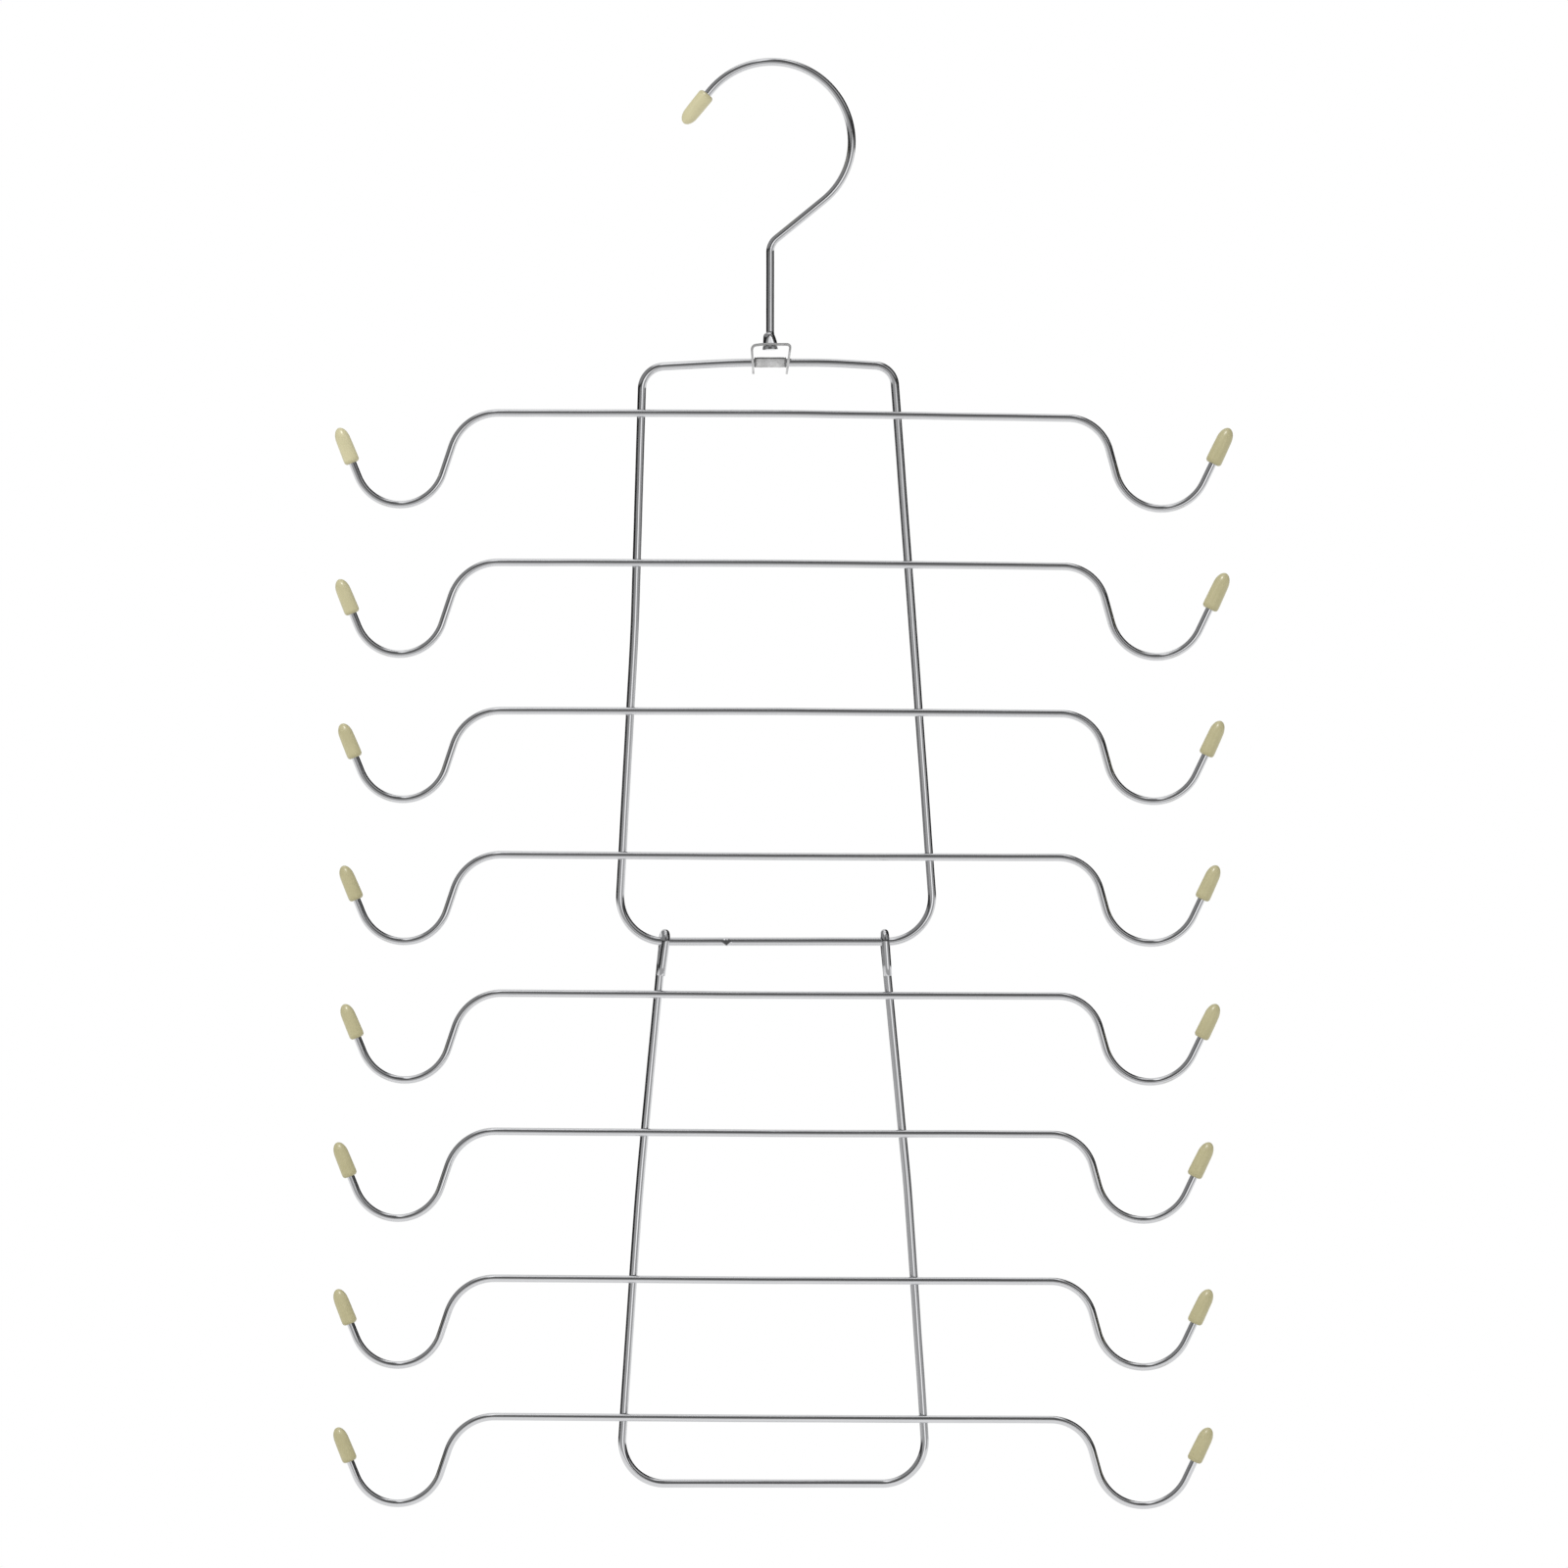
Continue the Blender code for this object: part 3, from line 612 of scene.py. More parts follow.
hookSizes = {
    "wire": 0.00325,
    "crookBend": 0.03265,
    "throatBend": 0.0309,
    "crookEndAngle": math.radians(140),
    "throatAngle": math.radians(8),
    "neckSlope": math.radians(39.1),
    "neckBend": 0.0071,
    "neckDrop": 0.0726,
    "stemLength": 0.04073,
    "tail": 0.0173,
    "collarWidth": 0.0058,
    "collarHeight": 0.0043,
    # The bell's outline: shares of its height and of what it stands out from the wire.
    "collar": (
        (1.15, 0), (1.1, 0), (1.05, 0.03), (1.0, 0.12), (0.97, 0.26), (0.95, 0.38), (0.92, 0.53),
        (0.88, 0.66), (0.81, 0.78), (0.70, 0.88), (0.52, 0.94), (0.30, 0.98), (0.08, 1),
    ),
    "collarEdge": ((0.00008, 0), (0.00002, 0.00022)),  # above its foot, and how much narrower there
    "askew": 0.32,  # it was upset askew, and its right shoulder is this much leaner
    "askewFade": (0.88, 1.05),  # back to none, as shares of its height
    "pressedDepth": 0.00245,  # from the axis to the flat that the jaw left on its front
    "pressedTurn": math.radians(3),  # to the right
    "pressedTilt": math.radians(-3),
    "headWidth": 0.0064,
    "headHeight": 0.0016,
    "headPlay": 0.0003,  # it was riveted loosely, so that the hook turns
    # The rivet head's outline: shares of its half width and of its height, from the top.
    "head": (
        (0.88, 0.01), (0.93, 0.1), (0.95, 0.35), (0.98, 0.7), (1.0, 0.86), (0.97, 0.95), (0.88, 1),
    ),
    "headTilt": 0.04,  # it was struck a little askew, and its left side hangs lower
    "stripThickness": 0.0007,
    "heldHeight": 0.004,  # above the strip, where the stem stays straight
    "sides": 36,
    "seed": 3,
}
stripTop = -hookSizes["neckDrop"] - hookSizes["stemLength"]


def stemWidths(sizes):
    # (height, width) down the stem's end: the bell that is upset above the yoke, the shank through its
    # hole and the head that is riveted over below.
    wire = sizes["wire"]
    foot = stripTop + seatPlay
    swell = sizes["collarWidth"] - wire
    stations = [(foot + sizes["collarHeight"] * up, wire + swell * out) for up, out in sizes["collar"]]
    stations += [(foot + up, sizes["collarWidth"] - less) for up, less in sizes["collarEdge"]]
    top = stripTop - sizes["stripThickness"] - sizes["headPlay"]
    stations += [(foot, wire), (top, wire)]
    stations += [(top - sizes["headHeight"] * down, sizes["headWidth"] * out) for out, down in sizes["head"]]
    return stations


def makeHook(sizes, cap):
    wire, bend, throatBend = sizes["wire"], sizes["crookBend"], sizes["throatBend"]
    endAngle, throatAngle = sizes["crookEndAngle"], sizes["throatAngle"]
    throatTurn = math.pi / 2 - sizes["neckSlope"]
    crown = wire / 2 - bend
    throatX = (bend - throatBend) * math.cos(throatAngle) + throatBend * math.cos(throatTurn)
    throatZ = (bend - throatBend) * math.sin(throatAngle) - throatBend * math.sin(throatTurn)
    reach = (crown + throatZ + sizes["neckDrop"]) / math.tan(sizes["neckSlope"])
    centre = Vector((reach - throatX, 0, crown))
    throatCentre = centre + (bend - throatBend) * Vector((math.cos(throatAngle), 0, math.sin(throatAngle)))
    crook = arcPoints(centre, bend, endAngle, throatAngle)
    crook += arcPoints(throatCentre, throatBend, throatAngle, -throatTurn)[1:]
    tail = sizes["tail"] - cap["noseWall"] - cap["gap"]
    heading = Vector((-math.sin(endAngle), 0, math.cos(endAngle)))
    wireEnd = crook[0] + heading * tail
    neck = Vector((0, 0, -sizes["neckDrop"]))
    stations = stemWidths(sizes)
    collarTop = Vector((0, 0, stations[0][0]))
    path = bentWire([wireEnd, crook[0]], (0, 0))[:-1] + crook[:-1]
    path += bentWire([crook[-1], neck, collarTop], (0, sizes["neckBend"], 0))[:-1]
    widths = [wire] * len(path) + [width for _, width in stations]
    path += [Vector((0, 0, height)) for height, _ in stations]
    held = [Vector((0, 0, stripTop)), Vector((0, 0, stripTop + sizes["heldHeight"])), wireEnd]
    hook = sweepWire("hook_bent_wire", path, widths, sizes["sides"], sizes["seed"], held)
    turn, tilt = sizes["pressedTurn"], sizes["pressedTilt"]
    fadeFrom, fadeTo = sizes["askewFade"]
    front = Vector((math.sin(turn) * math.cos(tilt), -math.cos(turn) * math.cos(tilt), math.sin(tilt)))
    for vertex in hook.data.vertices:
        up = (vertex.co.z - stripTop) / sizes["collarHeight"]
        if 0 < up < fadeTo and abs(vertex.co.x) < sizes["collarWidth"]:
            if vertex.co.x > 0:
                vertex.co.x *= 1 - sizes["askew"] * eased(up, 0, 1) * (1 - eased(up, fadeFrom, fadeTo))
            proud = front.dot(vertex.co - Vector((0, 0, stripTop))) - sizes["pressedDepth"]
            vertex.co -= front * max(proud, 0)
        down = (stripTop - sizes["stripThickness"] - vertex.co.z) / sizes["headHeight"]
        vertex.co.z += sizes["headTilt"] * vertex.co.x * max(down, 0)
    settle(hook, "hook", "chrome_wire", "hook_wire")
    lean = math.atan2(heading.x, heading.z)
    tip = addCap("hook_vinyl_cap", cap, wire, wireEnd, lean, cap["tone"], cap["seed"])
    settle(tip, "hook", "vinyl", "hook_tip")


makeHook(hookSizes, hookCap)
print("stage: hook made")


# The yoke and the sleeve on the top bar

yokeSizes = {
    "thickness": hookSizes["stripThickness"],  # pressed a little thinner between the legs
    "legThickness": 0.0009,
    "width": 0.0080,
    "rise": 0.00781,  # from the bar's axis to the top of the strip
    "legsAtTop": (0.00749, 0.00842),  # from the stem's axis to the middle of the left and right leg
    "legsAtFoot": (0.00680, 0.00676),
    "foot": 0.0046,
    "footSteps": 14,
    "bends": (0.0019, 0.0013),  # left and right shoulder
    "droop": 0.0005,  # of the left shoulder, bent down a little from beside the collar
    "droopFrom": 0.0034,
    "footFlatShare": 0.3,
    "edge": 0.00016,  # broken by tumbling
    "bore": 0.00008,  # how loosely the holes fit
    "paintedShade": 0.6,  # how dark the painted shade on its top is, from 0 to 1
    "paintedShadeReach": (0.0052, 0.0030),  # of the painted shade, from nothing to all of it, below the top
    "sharpAngle": 32,
}
frameWire = 0.0034
barHeight = stripTop - yokeSizes["rise"]


def punch(target, name, radius, length, matrix):
    # A round hole through target, by a cutter that stays until the modifiers are run.
    bm = bmesh.new()
    bmesh.ops.create_cone(bm, cap_ends=True, segments=64, radius1=radius, radius2=radius, depth=length)
    bm.transform(matrix)
    cutter = addObject(name, meshOf(bm, name))
    setUp(target.modifiers.new(name, "BOOLEAN"), operation="DIFFERENCE", solver="EXACT", object=cutter)
    return cutter


def makeYoke(sizes):
    # The strip follows its bent centreline, and its feet are half round. Then the holes are punched and all
    # edges broken.
    half = sizes["thickness"] / 2
    top = sizes["rise"] - half
    leftTop, rightTop = sizes["legsAtTop"]
    leftFoot, rightFoot = sizes["legsAtFoot"]
    corners = [
        Vector((-leftFoot, 0, -sizes["foot"])), Vector((-leftTop, 0, top - sizes["droop"])),
        Vector((-sizes["droopFrom"], 0, top)),
        Vector((rightTop, 0, top)), Vector((rightFoot, 0, -sizes["foot"])),
    ]
    leftBend, rightBend = sizes["bends"]
    line = bentWire(corners, (0, leftBend, sizes["width"], rightBend, 0))
    edge = sizes["width"] / 2
    first = math.asin(sizes["footFlatShare"])
    stations = []
    for i in range(sizes["footSteps"] + 1):
        angle = first + (math.pi / 2 - first) * i / sizes["footSteps"]
        stations.append((edge * (math.cos(first) - math.cos(angle)), edge * math.sin(angle)))
    deep = stations[-1][0]
    rise = (corners[1] - corners[0]).normalized()
    fall = (corners[3] - corners[4]).normalized()
    path = [(corners[0] + rise * along, wide) for along, wide in stations]
    path += [(p, edge) for p in line if (p - corners[0]).length > deep and (p - corners[4]).length > deep]
    path += [(corners[4] + fall * along, wide) for along, wide in reversed(stations)]
    rings = []
    for i, (point, wide) in enumerate(path):
        onward = (path[min(i + 1, len(path) - 1)][0] - path[max(i - 1, 0)][0]).normalized()
        thick = half + (sizes["legThickness"] / 2 - half) * onward.z ** 2
        normal = Vector((-onward.z, 0, onward.x)) * thick
        across = Vector((0, wide, 0))
        spots = (
            point - across - normal, point - across + normal,
            point + across + normal, point + across - normal,
        )
        rings.append([spot + Vector((0, 0, barHeight)) for spot in spots])
    source = addObject("yoke.source", ringMesh("yoke", rings, [range(4)]))
    across = Matrix.Translation((0, 0, barHeight)) @ Matrix.Rotation(math.pi / 2, 4, "Y")
    upright = Matrix.Translation((0, 0, stripTop - half))
    cutters = [
        punch(source, "bar_holes", frameWire / 2 + sizes["bore"], (leftTop + rightTop) * 2, across),
        punch(source, "stem_hole", hookSizes["wire"] / 2 + sizes["bore"], sizes["thickness"] * 3, upright),
    ]
    setUp(
        source.modifiers.new("edges", "BEVEL"), width=sizes["edge"], segments=3, limit_method="ANGLE",
        angle_limit=math.radians(50), use_clamp_overlap=True,
    )
    yoke = finished("yoke_pressed_strip", source)
    for cutter in cutters:
        bpy.data.objects.remove(cutter, do_unlink=True)
    yoke.data.materials.clear()
    yoke.data.materials.append(zincPlate)
    smooth(yoke.data, sizes["sharpAngle"])
    # Painted shade: the top of the strip is painted darker, for the shade and dark reflection along its top
    # edge.
    clean, dark = (stripTop - reach for reach in sizes["paintedShadeReach"])
    paintedShade = [sizes["paintedShade"] * eased(v.co.z, clean, dark) for v in yoke.data.vertices]
    setAttribute(yoke.data, "paintedShade", paintedShade)
    settle(yoke, "bracket", "zinc_plate", "swivel_bracket")


makeYoke(yokeSizes)


sleeveSizes = {
    "length": 0.0129,
    "shift": 0.0001,  # to the right, clear of the yoke's legs
    "lift": 0.00012,  # it grips the bar from below
    "wall": 0.00024,
    "play": 0.00014,
    "seam": 0.0006,
    "seamAngle": math.radians(115),  # from straight behind, over the top
    "groove": 0.00016,  # rolled in near each end
    "grooveAt": 0.0007,
    "grooveHalf": 0.00035,
    "rim": 0.0001,
    "belly": ((0.6, 0.00003), (0.3, 0.00001)),  # shares of its half length, and how far it stands out there
    "paintedShadeEnds": (0.0010, 0.0004),  # painted shade beside the yoke's legs, from nothing to all of it, from each end
    "paintedShadeTop": (0.5, 0.85),  # painted shade along the top, the same up its side, as shares of its half height
    "steps": 56,  # round it
    "sharpAngle": 40,
}


def makeSleeve(sizes):
    # Sheet rolled round the bar, its open seam along the top, a groove rolled in near each end.
    inner = frameWire / 2 + sizes["play"]
    outer = inner + sizes["wall"]
    half, shift = sizes["length"] / 2, sizes["shift"]
    middle = barHeight + sizes["lift"]
    opening = sizes["seam"] / 2 / outer
    steps = sizes["steps"]
    first = sizes["seamAngle"] + opening
    angles = [first + (2 * math.pi - 2 * opening) * i / steps for i in range(steps + 1)]
    rim = sizes["rim"]
    stations = [(-half, -rim), (-half + rim * 0.3, -rim * 0.3), (-half + rim, 0)]
    for i in range(9):
        part = -1 + 2 * i / 8
        dip = -sizes["groove"] * (math.cos(part * math.pi) + 1) / 2
        stations.append((-half + sizes["grooveAt"] + sizes["grooveHalf"] * part, dip))
    stations += [(-half * share, proud) for share, proud in sizes["belly"]]
    stations += [(0, 0)] + [(-x, dip) for x, dip in reversed(stations)]
    rings = []
    for x, dip in stations:
        wide = outer + dip
        ring = [(shift + x, wide * math.cos(a), middle + wide * math.sin(a)) for a in angles]
        ring += [(shift + x, inner * math.cos(a), middle + inner * math.sin(a)) for a in reversed(angles)]
        rings.append(ring)
    last = 2 * steps + 1
    mesh = ringMesh("sleeve", rings, [(i, i + 1, last - 1 - i, last - i) for i in range(steps)])
    smooth(mesh, sizes["sharpAngle"])

    # Painted shade: darker at both ends, where the yoke's legs shade it, and towards the top.
    def paintedShadeAt(spot):
        ends = 1 - eased(half - abs(spot.x - shift), *reversed(sizes["paintedShadeEnds"]))
        return max(ends, eased((spot.z - middle) / outer, *sizes["paintedShadeTop"]))

    setAttribute(mesh, "paintedShade", [paintedShadeAt(v.co) for v in mesh.vertices])
    mesh.materials.append(zincPlate)
    sleeve = addObject("bar_rolled_sleeve", mesh)
    settle(sleeve, "upper", "zinc_plate", "bar_sleeve")


makeSleeve(sleeveSizes)
print("stage: yoke and sleeve made")


# The two frames

upperSizes = {
    "height": 0.2363,
    "topWidth": 0.1025,
    "bottomWidth": 0.1298,
    "topShift": -0.0008,
    "bottomShift": 0.0026,
    "topBends": (0.0093, 0.0084),
    "bottomBend": 0.0184,
    "topBarSags": (0.0020, 0.0016),
    "topBarBend": 0.30,
    "levelShares": (0.27, 0.47),
    "legBow": 0.0015,
    "weldAt": -0.0177,  # where the loop's two ends are butt welded, on the bottom bar
    # The wire's width beside the weld: distance from it, and width. The rings without a swell carry the flash.
    "weldSwell": (
        (0, 0.00341), (0.0002, 0.00345), (0.0005, 0.00346), (0.0008, 0.00343), (0.0011, 0.0034),
        (0.0014, 0.0034), (0.0017, 0.0034), (0.0020, 0.0034), (0.0023, 0.0034), (0.0027, 0.0034),
    ),
    "weldMerge": 0.00002,  # within which the two ends are one
    "flashHalf": 0.0024,  # of the flash left on the weld's lower front, where it is widest
    "flashTaper": 0.82,  # how much narrower it is at the bottom
    "flashLean": 0.2,  # how far it stands out there, in half wires
    "flashEdge": 0.0003,
    "heldHalf": 0.007,  # of the top bar, on each side of the yoke's middle
    "sides": 32,
    "seed": 5,
}
lowerSizes = {
    "height": 0.2212,
    "topWidth": 0.0903,
    "bottomWidth": 0.1260,
    "shift": 0.0014,
    "bottomBend": 0.0174,
    "legBow": 0.0015,
    "tail": 0.0139,
    "jogStart": 0.0090,
    "jogEnd": 0.0025,
    "jogBend": 0.0050,
    "eyeletOffsets": (0.48, -0.08),  # how far the front of an eyelet lies inside its leg, in wires
    "tailOffsets": (0.18, -0.06),  # the same at the end of its tail
    "eyeletPlay": 0.00008,
    "cutEdge": 0.0003,
    "sides": 32,
    "seed": 7,
}
bowShare = 0.46  # of a frame's height, down to the middle of its legs' bow
bowBend = 1.0
foldHeight = barHeight - upperSizes["height"]


def makeUpperFrame(sizes):
    # One closed loop, drawn from its butt weld round to it again. The weld keeps a wedge of flash.
    top, bottom, height = sizes["topWidth"] / 2, sizes["bottomWidth"] / 2, sizes["height"]
    leftLevel, rightLevel = (share * top for share in sizes["levelShares"])
    leftSag, rightSag = sizes["topBarSags"]
    leftBend, rightBend = sizes["topBends"]
    bowTop, bowBottom = sizes["topShift"] - top, sizes["bottomShift"] - bottom
    bow = bowTop + (bowBottom - bowTop) * bowShare + sizes["legBow"]
    outline = [
        (sizes["weldAt"], -height, 0),
        (sizes["bottomShift"] - bottom, -height, sizes["bottomBend"]),
        (bow, -height * bowShare, bowBend),
        (sizes["topShift"] - top, -leftSag, leftBend),
        (-leftLevel, 0, sizes["topBarBend"]),
        (rightLevel, 0, sizes["topBarBend"]),
        (sizes["topShift"] + top, -rightSag, rightBend),
        (sizes["bottomShift"] + bottom, -height, sizes["bottomBend"]),
        (sizes["weldAt"], -height, 0),
    ]
    corners = [Vector((x, 0, barHeight + z)) for x, z, _ in outline]
    path = bentWire(corners, [bend for _, _, bend in outline])
    path, widths = shapedEnds(path, frameWire, sizes["weldSwell"])
    held = [corners[0]]
    for side in sideNames:
        held.append(Vector((side * sizes["heldHalf"], 0, barHeight)))
        held.append(Vector((side * lowerSizes["topWidth"] / 2, 0, foldHeight)))
    loop = sweepWire("upper_frame_welded_loop", path, widths, sizes["sides"], sizes["seed"], held)
    bm = bmesh.new()
    bm.from_mesh(loop.data)
    inside = [face for face in bm.faces if len(face.verts) == sizes["sides"]]
    bmesh.ops.delete(bm, geom=inside, context="FACES_ONLY")
    bmesh.ops.remove_doubles(bm, verts=bm.verts, dist=sizes["weldMerge"])
    bm.to_mesh(loop.data)
    bm.free()
    smooth(loop.data, wireMaking["sharpAngle"])
    radius, edge = frameWire / 2, sizes["flashEdge"]
    for vertex in loop.data.vertices:
        below = (foldHeight - vertex.co.z) / radius
        if below > 0 > vertex.co.y:
            reach = sizes["flashHalf"] * (1 - sizes["flashTaper"] * below)
            amount = 1 - eased(abs(vertex.co.x - sizes["weldAt"]), reach - edge, reach + edge)
            vertex.co.y += (-radius * (1 + sizes["flashLean"] * below) - vertex.co.y) * amount
    settle(loop, "upper", "chrome_wire", "upper_frame")
    return path


def eyeletAndLeg(sizes, side):
    # Corners from the end of a tail, over the bar and down the leg to the foot of the frame.
    top = sizes["shift"] + side * sizes["topWidth"] / 2
    bottom = sizes["shift"] + side * sizes["bottomWidth"] / 2
    bow = top + (bottom - top) * bowShare + side * sizes["legBow"]
    slope = (bow - top) / (sizes["height"] * bowShare)
    eyeletInside = -side * frameWire * ofSide(sizes["eyeletOffsets"], side)
    tailInside = -side * frameWire * ofSide(sizes["tailOffsets"], side)
    bend = frameWire + sizes["eyeletPlay"]
    tail = sizes["tail"]
    return [
        ((top + slope * tail + tailInside, -bend, -tail), 0),
        ((top + eyeletInside, -bend, bend), bend),
        ((top, bend, bend), bend),
        ((top + slope * sizes["jogEnd"], bend, -sizes["jogEnd"]), sizes["jogBend"]),
        ((top + slope * sizes["jogStart"], 0, -sizes["jogStart"]), sizes["jogBend"]),
        ((bow, 0, -sizes["height"] * bowShare), bowBend),
        ((bottom, 0, -sizes["height"]), sizes["bottomBend"]),
    ]


def makeLowerFrame(sizes):
    outline = eyeletAndLeg(sizes, leftSide) + eyeletAndLeg(sizes, rightSide)[::-1]
    corners = [Vector(spot) + Vector((0, 0, foldHeight)) for spot, _ in outline]
    path = bentWire(corners, [bend for _, bend in outline])
    edge = sizes["cutEdge"]
    shape = ((0, frameWire - 2 * edge), (edge * 0.3, frameWire - 0.9 * edge), (edge, frameWire))
    path, widths = shapedEnds(path, frameWire, shape)
    held = [corners[i] for i in (1, 2, 4, -5, -3, -2)]
    wire = sweepWire("lower_frame_bent_wire", path, widths, sizes["sides"], sizes["seed"], held)
    settle(wire, "lower", "chrome_wire", "lower_frame")
    return path


upperPath = makeUpperFrame(upperSizes)
lowerPath = makeLowerFrame(lowerSizes)
print("stage: frames made")


# The arms. They aren't alike: heights are shares of the frame's height, reaches and shifts of halfBar, drops
# of the whole bar, bows of the wire, dips of their depth, lips of their length and caps of their size. The cap
# tones say how deep the colour of each cap is, and paint light too: the upper left caps are painted paler.

armSizes = {
    "wire": 0.0031,
    "halfBar": 0.1273,
    "shoulderBends": (0.0200, 0.0176),
    "shoulderLeans": (math.radians(18.5), math.radians(15.4)),
    "dipBends": (0.0184, 0.0192),
    "dipDepths": (0.0355, 0.0349),
    "lipLeans": (math.radians(22), math.radians(25.5)),
    "lipLengths": (0.0209, 0.0229),
    "capWidths": (0.0062, 0.0064),
    "capLengths": (0.0150, 0.0154),
    "barBow": 3.0,
    "setDown": 0.00005,  # how far arm and leg are pressed into each other at a weld
    "legsFrom": 0.02,  # of the middle, where the frames' legs lie
    "sides": 28,
    "seed": 20,
    "capSeed": 40,
}
plainArm = {"reach": 1, "bow": -0.08, "dip": 1, "lips": (1, 1), "caps": (1, 1), "capTonesAndLight": (0.71, 0.71)}
arms = (
    {"body": "upper", "height": 0.0923, "reach": 1.021, "shift": 0.038, "drop": 0.009, "bow": 0.30,
     "dip": 1.055, "lips": (1.02, 1.06), "caps": (1.03, 1.055), "capTonesAndLight": (0.13, 0.72)},
    {"body": "upper", "height": 0.349, "reach": 1.014, "shift": 0.030, "drop": 0.007, "bow": 0.16,
     "dip": 1.055, "lips": (0.98, 1.12), "caps": (1.02, 1.055), "capTonesAndLight": (0.39, 0.74)},
    {"body": "upper", "height": 0.604, "reach": 1.007, "shift": 0.030, "drop": 0.0055, "bow": 0.11,
     "dip": 1.02, "lips": (1, 1.05), "capTonesAndLight": (0.65, 0.72)},
    {"body": "upper", "height": 0.852, "reach": 1.002, "shift": 0.027, "drop": 0.005, "capTonesAndLight": (0.74, 0.72)},
    {"body": "lower", "height": 0.0973, "shift": 0.028, "drop": 0.0053},
    {"body": "lower", "height": 0.352, "shift": 0.006, "drop": 0.0053},
    {"body": "lower", "height": 0.623, "shift": 0.005, "drop": 0.0055, "capTonesAndLight": (0.7, 0.68)},
    {"body": "lower", "height": 0.878, "shift": 0.005, "drop": 0.0056, "capTonesAndLight": (0.7, 0.68)},
)
armDepth = (frameWire + armSizes["wire"]) / 2 - armSizes["setDown"]


def armEnd(sizes, corner, side, dip, lip):
    # The virtual corner at the foot of the dip, and the wire's end in its cap.
    slope = ofSide(sizes["shoulderLeans"], side)
    lean = ofSide(sizes["lipLeans"], side)
    bend = ofSide(sizes["dipBends"], side)
    narrow = (slope + lean) / 2
    depth = ofSide(sizes["dipDepths"], side) * dip - bend
    depth += bend * math.cos((lean - slope) / 2) / math.sin(narrow)
    foot = corner + Vector((side * depth * math.tan(slope), 0, -depth))
    run = bend / math.tan(narrow) + ofSide(sizes["lipLengths"], side) * lip - armCap["noseWall"] - armCap["gap"]
    return foot, foot + Vector((side * math.sin(lean), 0, math.cos(lean))) * run


def passing(path, axis, value, fits):
    # Where a path passes a value on one axis, on a stretch that fits.
    for one, two in zip(path, path[1:]):
        start, end = one[axis], two[axis]
        if start != end and min(start, end) <= value <= max(start, end) and fits(one, two):
            return one.lerp(two, (value - start) / (end - start))
    raise SystemExit("no wire passes there")


def makeArm(number, arm, sizes, framePath):
    # Returns where its welds sit.
    if arm["body"] == "upper":
        height = barHeight - upperSizes["height"] * arm["height"]
    else:
        height = foldHeight - lowerSizes["height"] * arm["height"]
    half = sizes["halfBar"] * arm["reach"]
    middle = sizes["halfBar"] * arm["shift"]
    sides = []
    for side in sideNames:
        shoulder = Vector((middle + side * half, -armDepth, height - side * half * arm["drop"]))
        foot, end = armEnd(sizes, shoulder, side, arm["dip"], ofSide(arm["lips"], side))
        bends = (0, ofSide(sizes["dipBends"], side), ofSide(sizes["shoulderBends"], side))
        sides.append([*zip((end, foot, shoulder), bends)])
    left, right = sides
    crown = (left[-1][0] + right[-1][0]) / 2 + Vector((0, 0, sizes["wire"] * arm["bow"]))
    corners, bends = zip(*left, (crown, sizes["barBow"]), *reversed(right))
    path = bentWire(corners, bends)
    legs = [
        passing(framePath, 2, height, lambda one, two: one.x * side > sizes["legsFrom"]).x for side in sideNames
    ]
    ends = (corners[0], corners[-1])
    held = [*ends, *(Vector((x, -armDepth, height)) for x in legs)]
    name, seed = f"arm_{number}", sizes["seed"] + number
    wire = sweepWire(name + "_bent_wire", path, [sizes["wire"]] * len(path), sizes["sides"], seed, held)
    settle(wire, arm["body"], "chrome_wire", name)
    for side, end in zip(sideNames, ends):
        word = sideNames[side]
        scale = ofSide(arm["caps"], side)
        width = ofSide(sizes["capWidths"], side) * scale
        look = dict(armCap, width=width, length=ofSide(sizes["capLengths"], side) * scale)
        lean = side * ofSide(sizes["lipLeans"], side)
        tone, seed = ofSide(arm["capTonesAndLight"], side), sizes["capSeed"] + 2 * number + side
        cap = addCap(f"{name}_vinyl_cap_{word}", look, sizes["wire"], end, lean, tone, seed)
        settle(cap, arm["body"], "vinyl", f"{name}_tip_{word}")
    level = [passing(path, 0, x, lambda one, two: abs(two.z - one.z) < two.x - one.x).z for x in legs]
    depth = armDepth * frameWire / (frameWire + sizes["wire"])
    return [Vector((x, -depth, z)) for x, z in zip(legs, level)]


crossings = {"upper": [], "lower": []}
for armNumber, armShape in enumerate(arms, 1):
    legPath = upperPath if armShape["body"] == "upper" else lowerPath
    crossings[armShape["body"]] += makeArm(armNumber, {**plainArm, **armShape}, armSizes, legPath)
print("stage: arms and caps made")


weldSizes = {
    "radius": 0.00135,
    "flatness": 0.42,
    "smallest": (0.9, 0.95, 0.9),  # of the radius, on each axis
    "largest": (1.15, 1.05, 1.15),
    "lumps": 0.0003,
    "lumpScale": 1100.0,
    "seeds": {"upper": 4, "lower": 9},
}
crossWelds = weldTree()


def makeWelds(body, spots, sizes):
    mesh = bpy.data.meshes.new(body + "Welds")
    mesh.from_pydata(spots, [], [])
    welds = runTree(body + "_frame_cross_welds", mesh, crossWelds, {
        "Radius": sizes["radius"], "Flatness": sizes["flatness"], "Smallest": sizes["smallest"],
        "Largest": sizes["largest"], "Lumps": sizes["lumps"], "Lump Scale": sizes["lumpScale"],
        "Seed": sizes["seeds"][body], "Finish": chromedWeld,
    })
    welds.data.shade_smooth()
    settle(welds, body, "chrome_wire")


for frameBody, weldSpots in crossings.items():
    makeWelds(frameBody, weldSpots, weldSizes)
print("stage: welds made")


# Camera, floor and studio

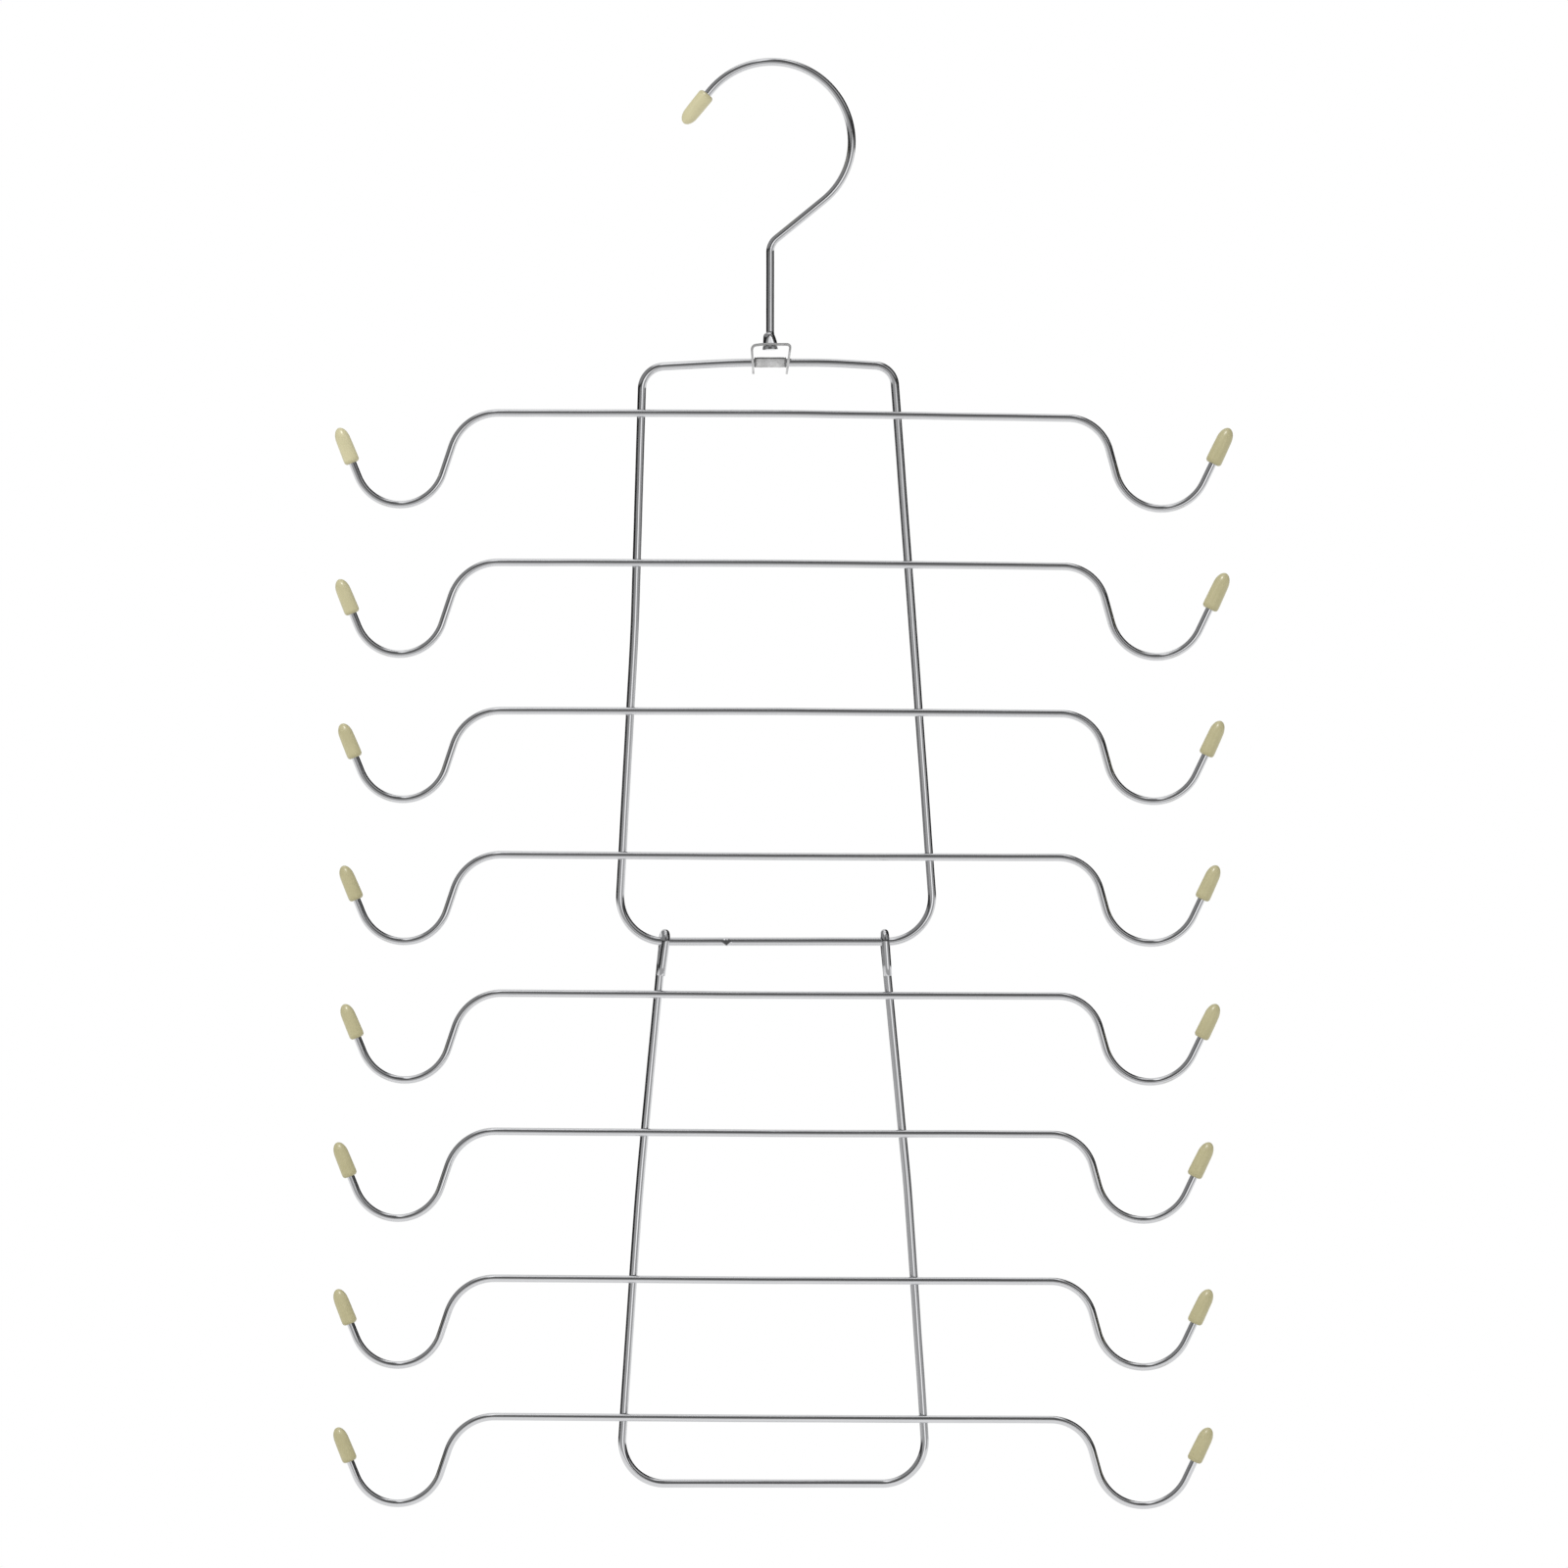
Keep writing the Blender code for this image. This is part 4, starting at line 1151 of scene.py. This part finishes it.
view = {
    "centre": Vector((0.0057, 0, -0.2931)),
    "lens": 180,
    "sensor": 36,
    "distance": 3.2,
    "clipEnd": 20,
}


def addCamera(view):
    camera = setUp(
        bpy.data.cameras.new("camera"),
        lens=view["lens"], sensor_width=view["sensor"], clip_end=view["clipEnd"],
    )
    place = view["centre"] + Vector((0, -view["distance"], 0))
    bpy.context.scene.camera = setUp(
        addObject("camera", camera), location=place, rotation_euler=(math.pi / 2, 0, 0),
    )


floorLook = {
    "colour": "efeeeb",
    "height": -0.66,
    "radius": 0.45,
    "fade": (0.24, 0.43),  # from the middle, into the white
    "roughness": 0.8,
    "sides": 96,
}


def addFloor(look):
    # A plain pale disc that keeps the soft shadow and fades into the white surroundings.
    material, add, spot = startFinish("paleFloor")
    tree = material.node_tree
    shader = tree.nodes["Principled BSDF"]
    shader.inputs["Base Color"].default_value = linear(look["colour"])
    shader.inputs["Roughness"].default_value = look["roughness"]
    away = add("VectorMath", {0: spot}, operation="LENGTH").outputs["Value"]
    near, far = look["fade"]
    fade = add("MapRange", {"Value": away, "From Min": near, "From Max": far}, interpolation_type="SMOOTHSTEP")
    ray = add("LightPath").outputs
    faded = add("Math", {0: fade, 1: ray["Is Camera Ray"]}, operation="MULTIPLY")
    mirrored = add("Math", {0: ray["Is Glossy Ray"], 1: ray["Is Transmission Ray"]}, operation="MAXIMUM")
    seen = add("Math", {0: faded, 1: mirrored}, operation="MAXIMUM")
    white = add("Emission")
    mixed = add("MixShader", {0: seen, 1: shader, 2: white})
    tree.links.new(mixed.outputs[0], tree.nodes["Material Output"].inputs["Surface"])
    bm = bmesh.new()
    bmesh.ops.create_circle(bm, cap_ends=True, segments=look["sides"], radius=look["radius"])
    mesh = meshOf(bm, "floor")
    mesh.materials.append(material)
    floor = addObject("floor", mesh)
    floor.location = (view["centre"].x, 0, look["height"])


# A white studio with soft light from all sides. Polished metal sees its darker stretches, the cards, each of
# which lies over those before.
studio = {
    "level": 1.0,
    "fill": 0.86,
    # What a card stands for. In degrees its azimuth, 0 towards the camera and -90 to the left, its elevation
    # and how soft its edges are. Then how bright it is.
    "cards": (
        ("wall above the rack", None, (20, 59), 20, 0.75),
        ("ceiling lamp", (-24, 120), (36, 92), 20, 1.5),
        ("gap beside it", (46, 130), (44, 72), 20, 0.03),
        ("grey wall, right", (-4, 74), (-6, 60), 16, 0.42),
        ("dark room, left", (-60, -2), (-2, 44), 16, 0.04),
        ("dark doorway", (-150, -54), (-7, 32), 14, 0.02),
        ("grey wall, left", (-150, -14), (13, 60), 8, 0.3),
        ("dark room, front", (-4, 30), (4, 80), 12, 0.16),
        ("dark room, right", (72, 172), (-1.2, 58), 6, 0.02),
        ("dark shelf, right", (14, 80), (6, 20), 5, 0.06),
        ("table's front", (-40, 62), (-40, -6), 14, 0.46),
        ("horizon", (-60, 78), (-26, 4), 10, 0.47),
        ("dark beam", (-24, 12), (4.5, 40), 5, 0.11),
        ("window", (5, 30), (-14, 5), 7, 1.4),
    ),
    "key": {"place": (-1.3, -1.9, 1.0), "size": 1.3, "power": 14},
    "glint": {"place": (-0.1, -1.3, 1.8), "size": 0.45, "power": 36},
}


def cardMask(add, bounded, softness):
    # 1 inside a card's ranges, 0 outside, with a soft edge. bounded are angles with their limits.
    mask = 1.0
    soft = math.radians(softness) / 2
    for angle, limits in bounded:
        if limits is None:
            continue
        low, high = (math.radians(limit) for limit in limits)
        for start, full in ((low - soft, low + soft), (high + soft, high - soft)):
            edge = add(
                "MapRange", {"Value": angle, "From Min": start, "From Max": full},
                interpolation_type="SMOOTHSTEP",
            )
            mask = add("Math", {0: mask, 1: edge}, operation="MULTIPLY")
    return mask


def addLamp(name, look):
    lamp = setUp(bpy.data.lights.new(name, "AREA"), size=look["size"], energy=look["power"])
    towards = view["centre"] - Vector(look["place"])
    return setUp(
        addObject(name, lamp), location=look["place"],
        rotation_euler=towards.to_track_quat("-Z", "Y").to_euler(), visible_camera=False,
    )


def addStudio(studio, caps):
    world = bpy.data.worlds.new("softStudio")
    bpy.context.scene.world = world
    world.use_nodes = True
    world.node_tree.nodes.clear()
    add = partial(addNode, world.node_tree)
    way = add("TexCoord").outputs["Generated"]
    parts = add("SeparateXYZ", {0: way}).outputs
    front = add("Math", {0: parts["Y"], 1: -1.0}, operation="MULTIPLY")
    azimuth = add("Math", {0: parts["X"], 1: front}, operation="ARCTAN2")
    elevation = add("Math", {0: parts["Z"]}, operation="ARCSINE")
    level = studio["level"]
    for _, across, upright, softness, brightness in studio["cards"]:
        mask = cardMask(add, ((azimuth, across), (elevation, upright)), softness)
        level = add("Mix", {0: mask, 2: level, 3: brightness}, data_type="FLOAT")
    ray = add("LightPath").outputs
    direct = add("Math", {0: ray["Is Camera Ray"], 1: ray["Is Transmission Ray"]}, operation="MAXIMUM")
    plain = add("Mix", {0: direct, 2: studio["fill"], 3: studio["level"]}, data_type="FLOAT")
    shown = add("Mix", {0: ray["Is Glossy Ray"], 2: plain, 3: level}, data_type="FLOAT")
    background = add("Background", {"Color": (1, 1, 1, 1), "Strength": shown})
    add("OutputWorld", {"Surface": background})

    key = addLamp("softKey", studio["key"])
    key.visible_glossy = False  # the cards above are what metal sees
    glint = addLamp("capGlint", studio["glint"])  # only the soft shine on the caps' noses
    glint.visible_diffuse = False
    glint.light_linking.receiver_collection = bpy.data.collections.new("shinyCaps")
    for cap in caps:
        glint.light_linking.receiver_collection.objects.link(cap)


addCamera(view)
addFloor(floorLook)
addStudio(studio, vinylCaps)
bpy.context.scene.view_settings.view_transform = "Standard"
print("stage: camera, floor and studio made")
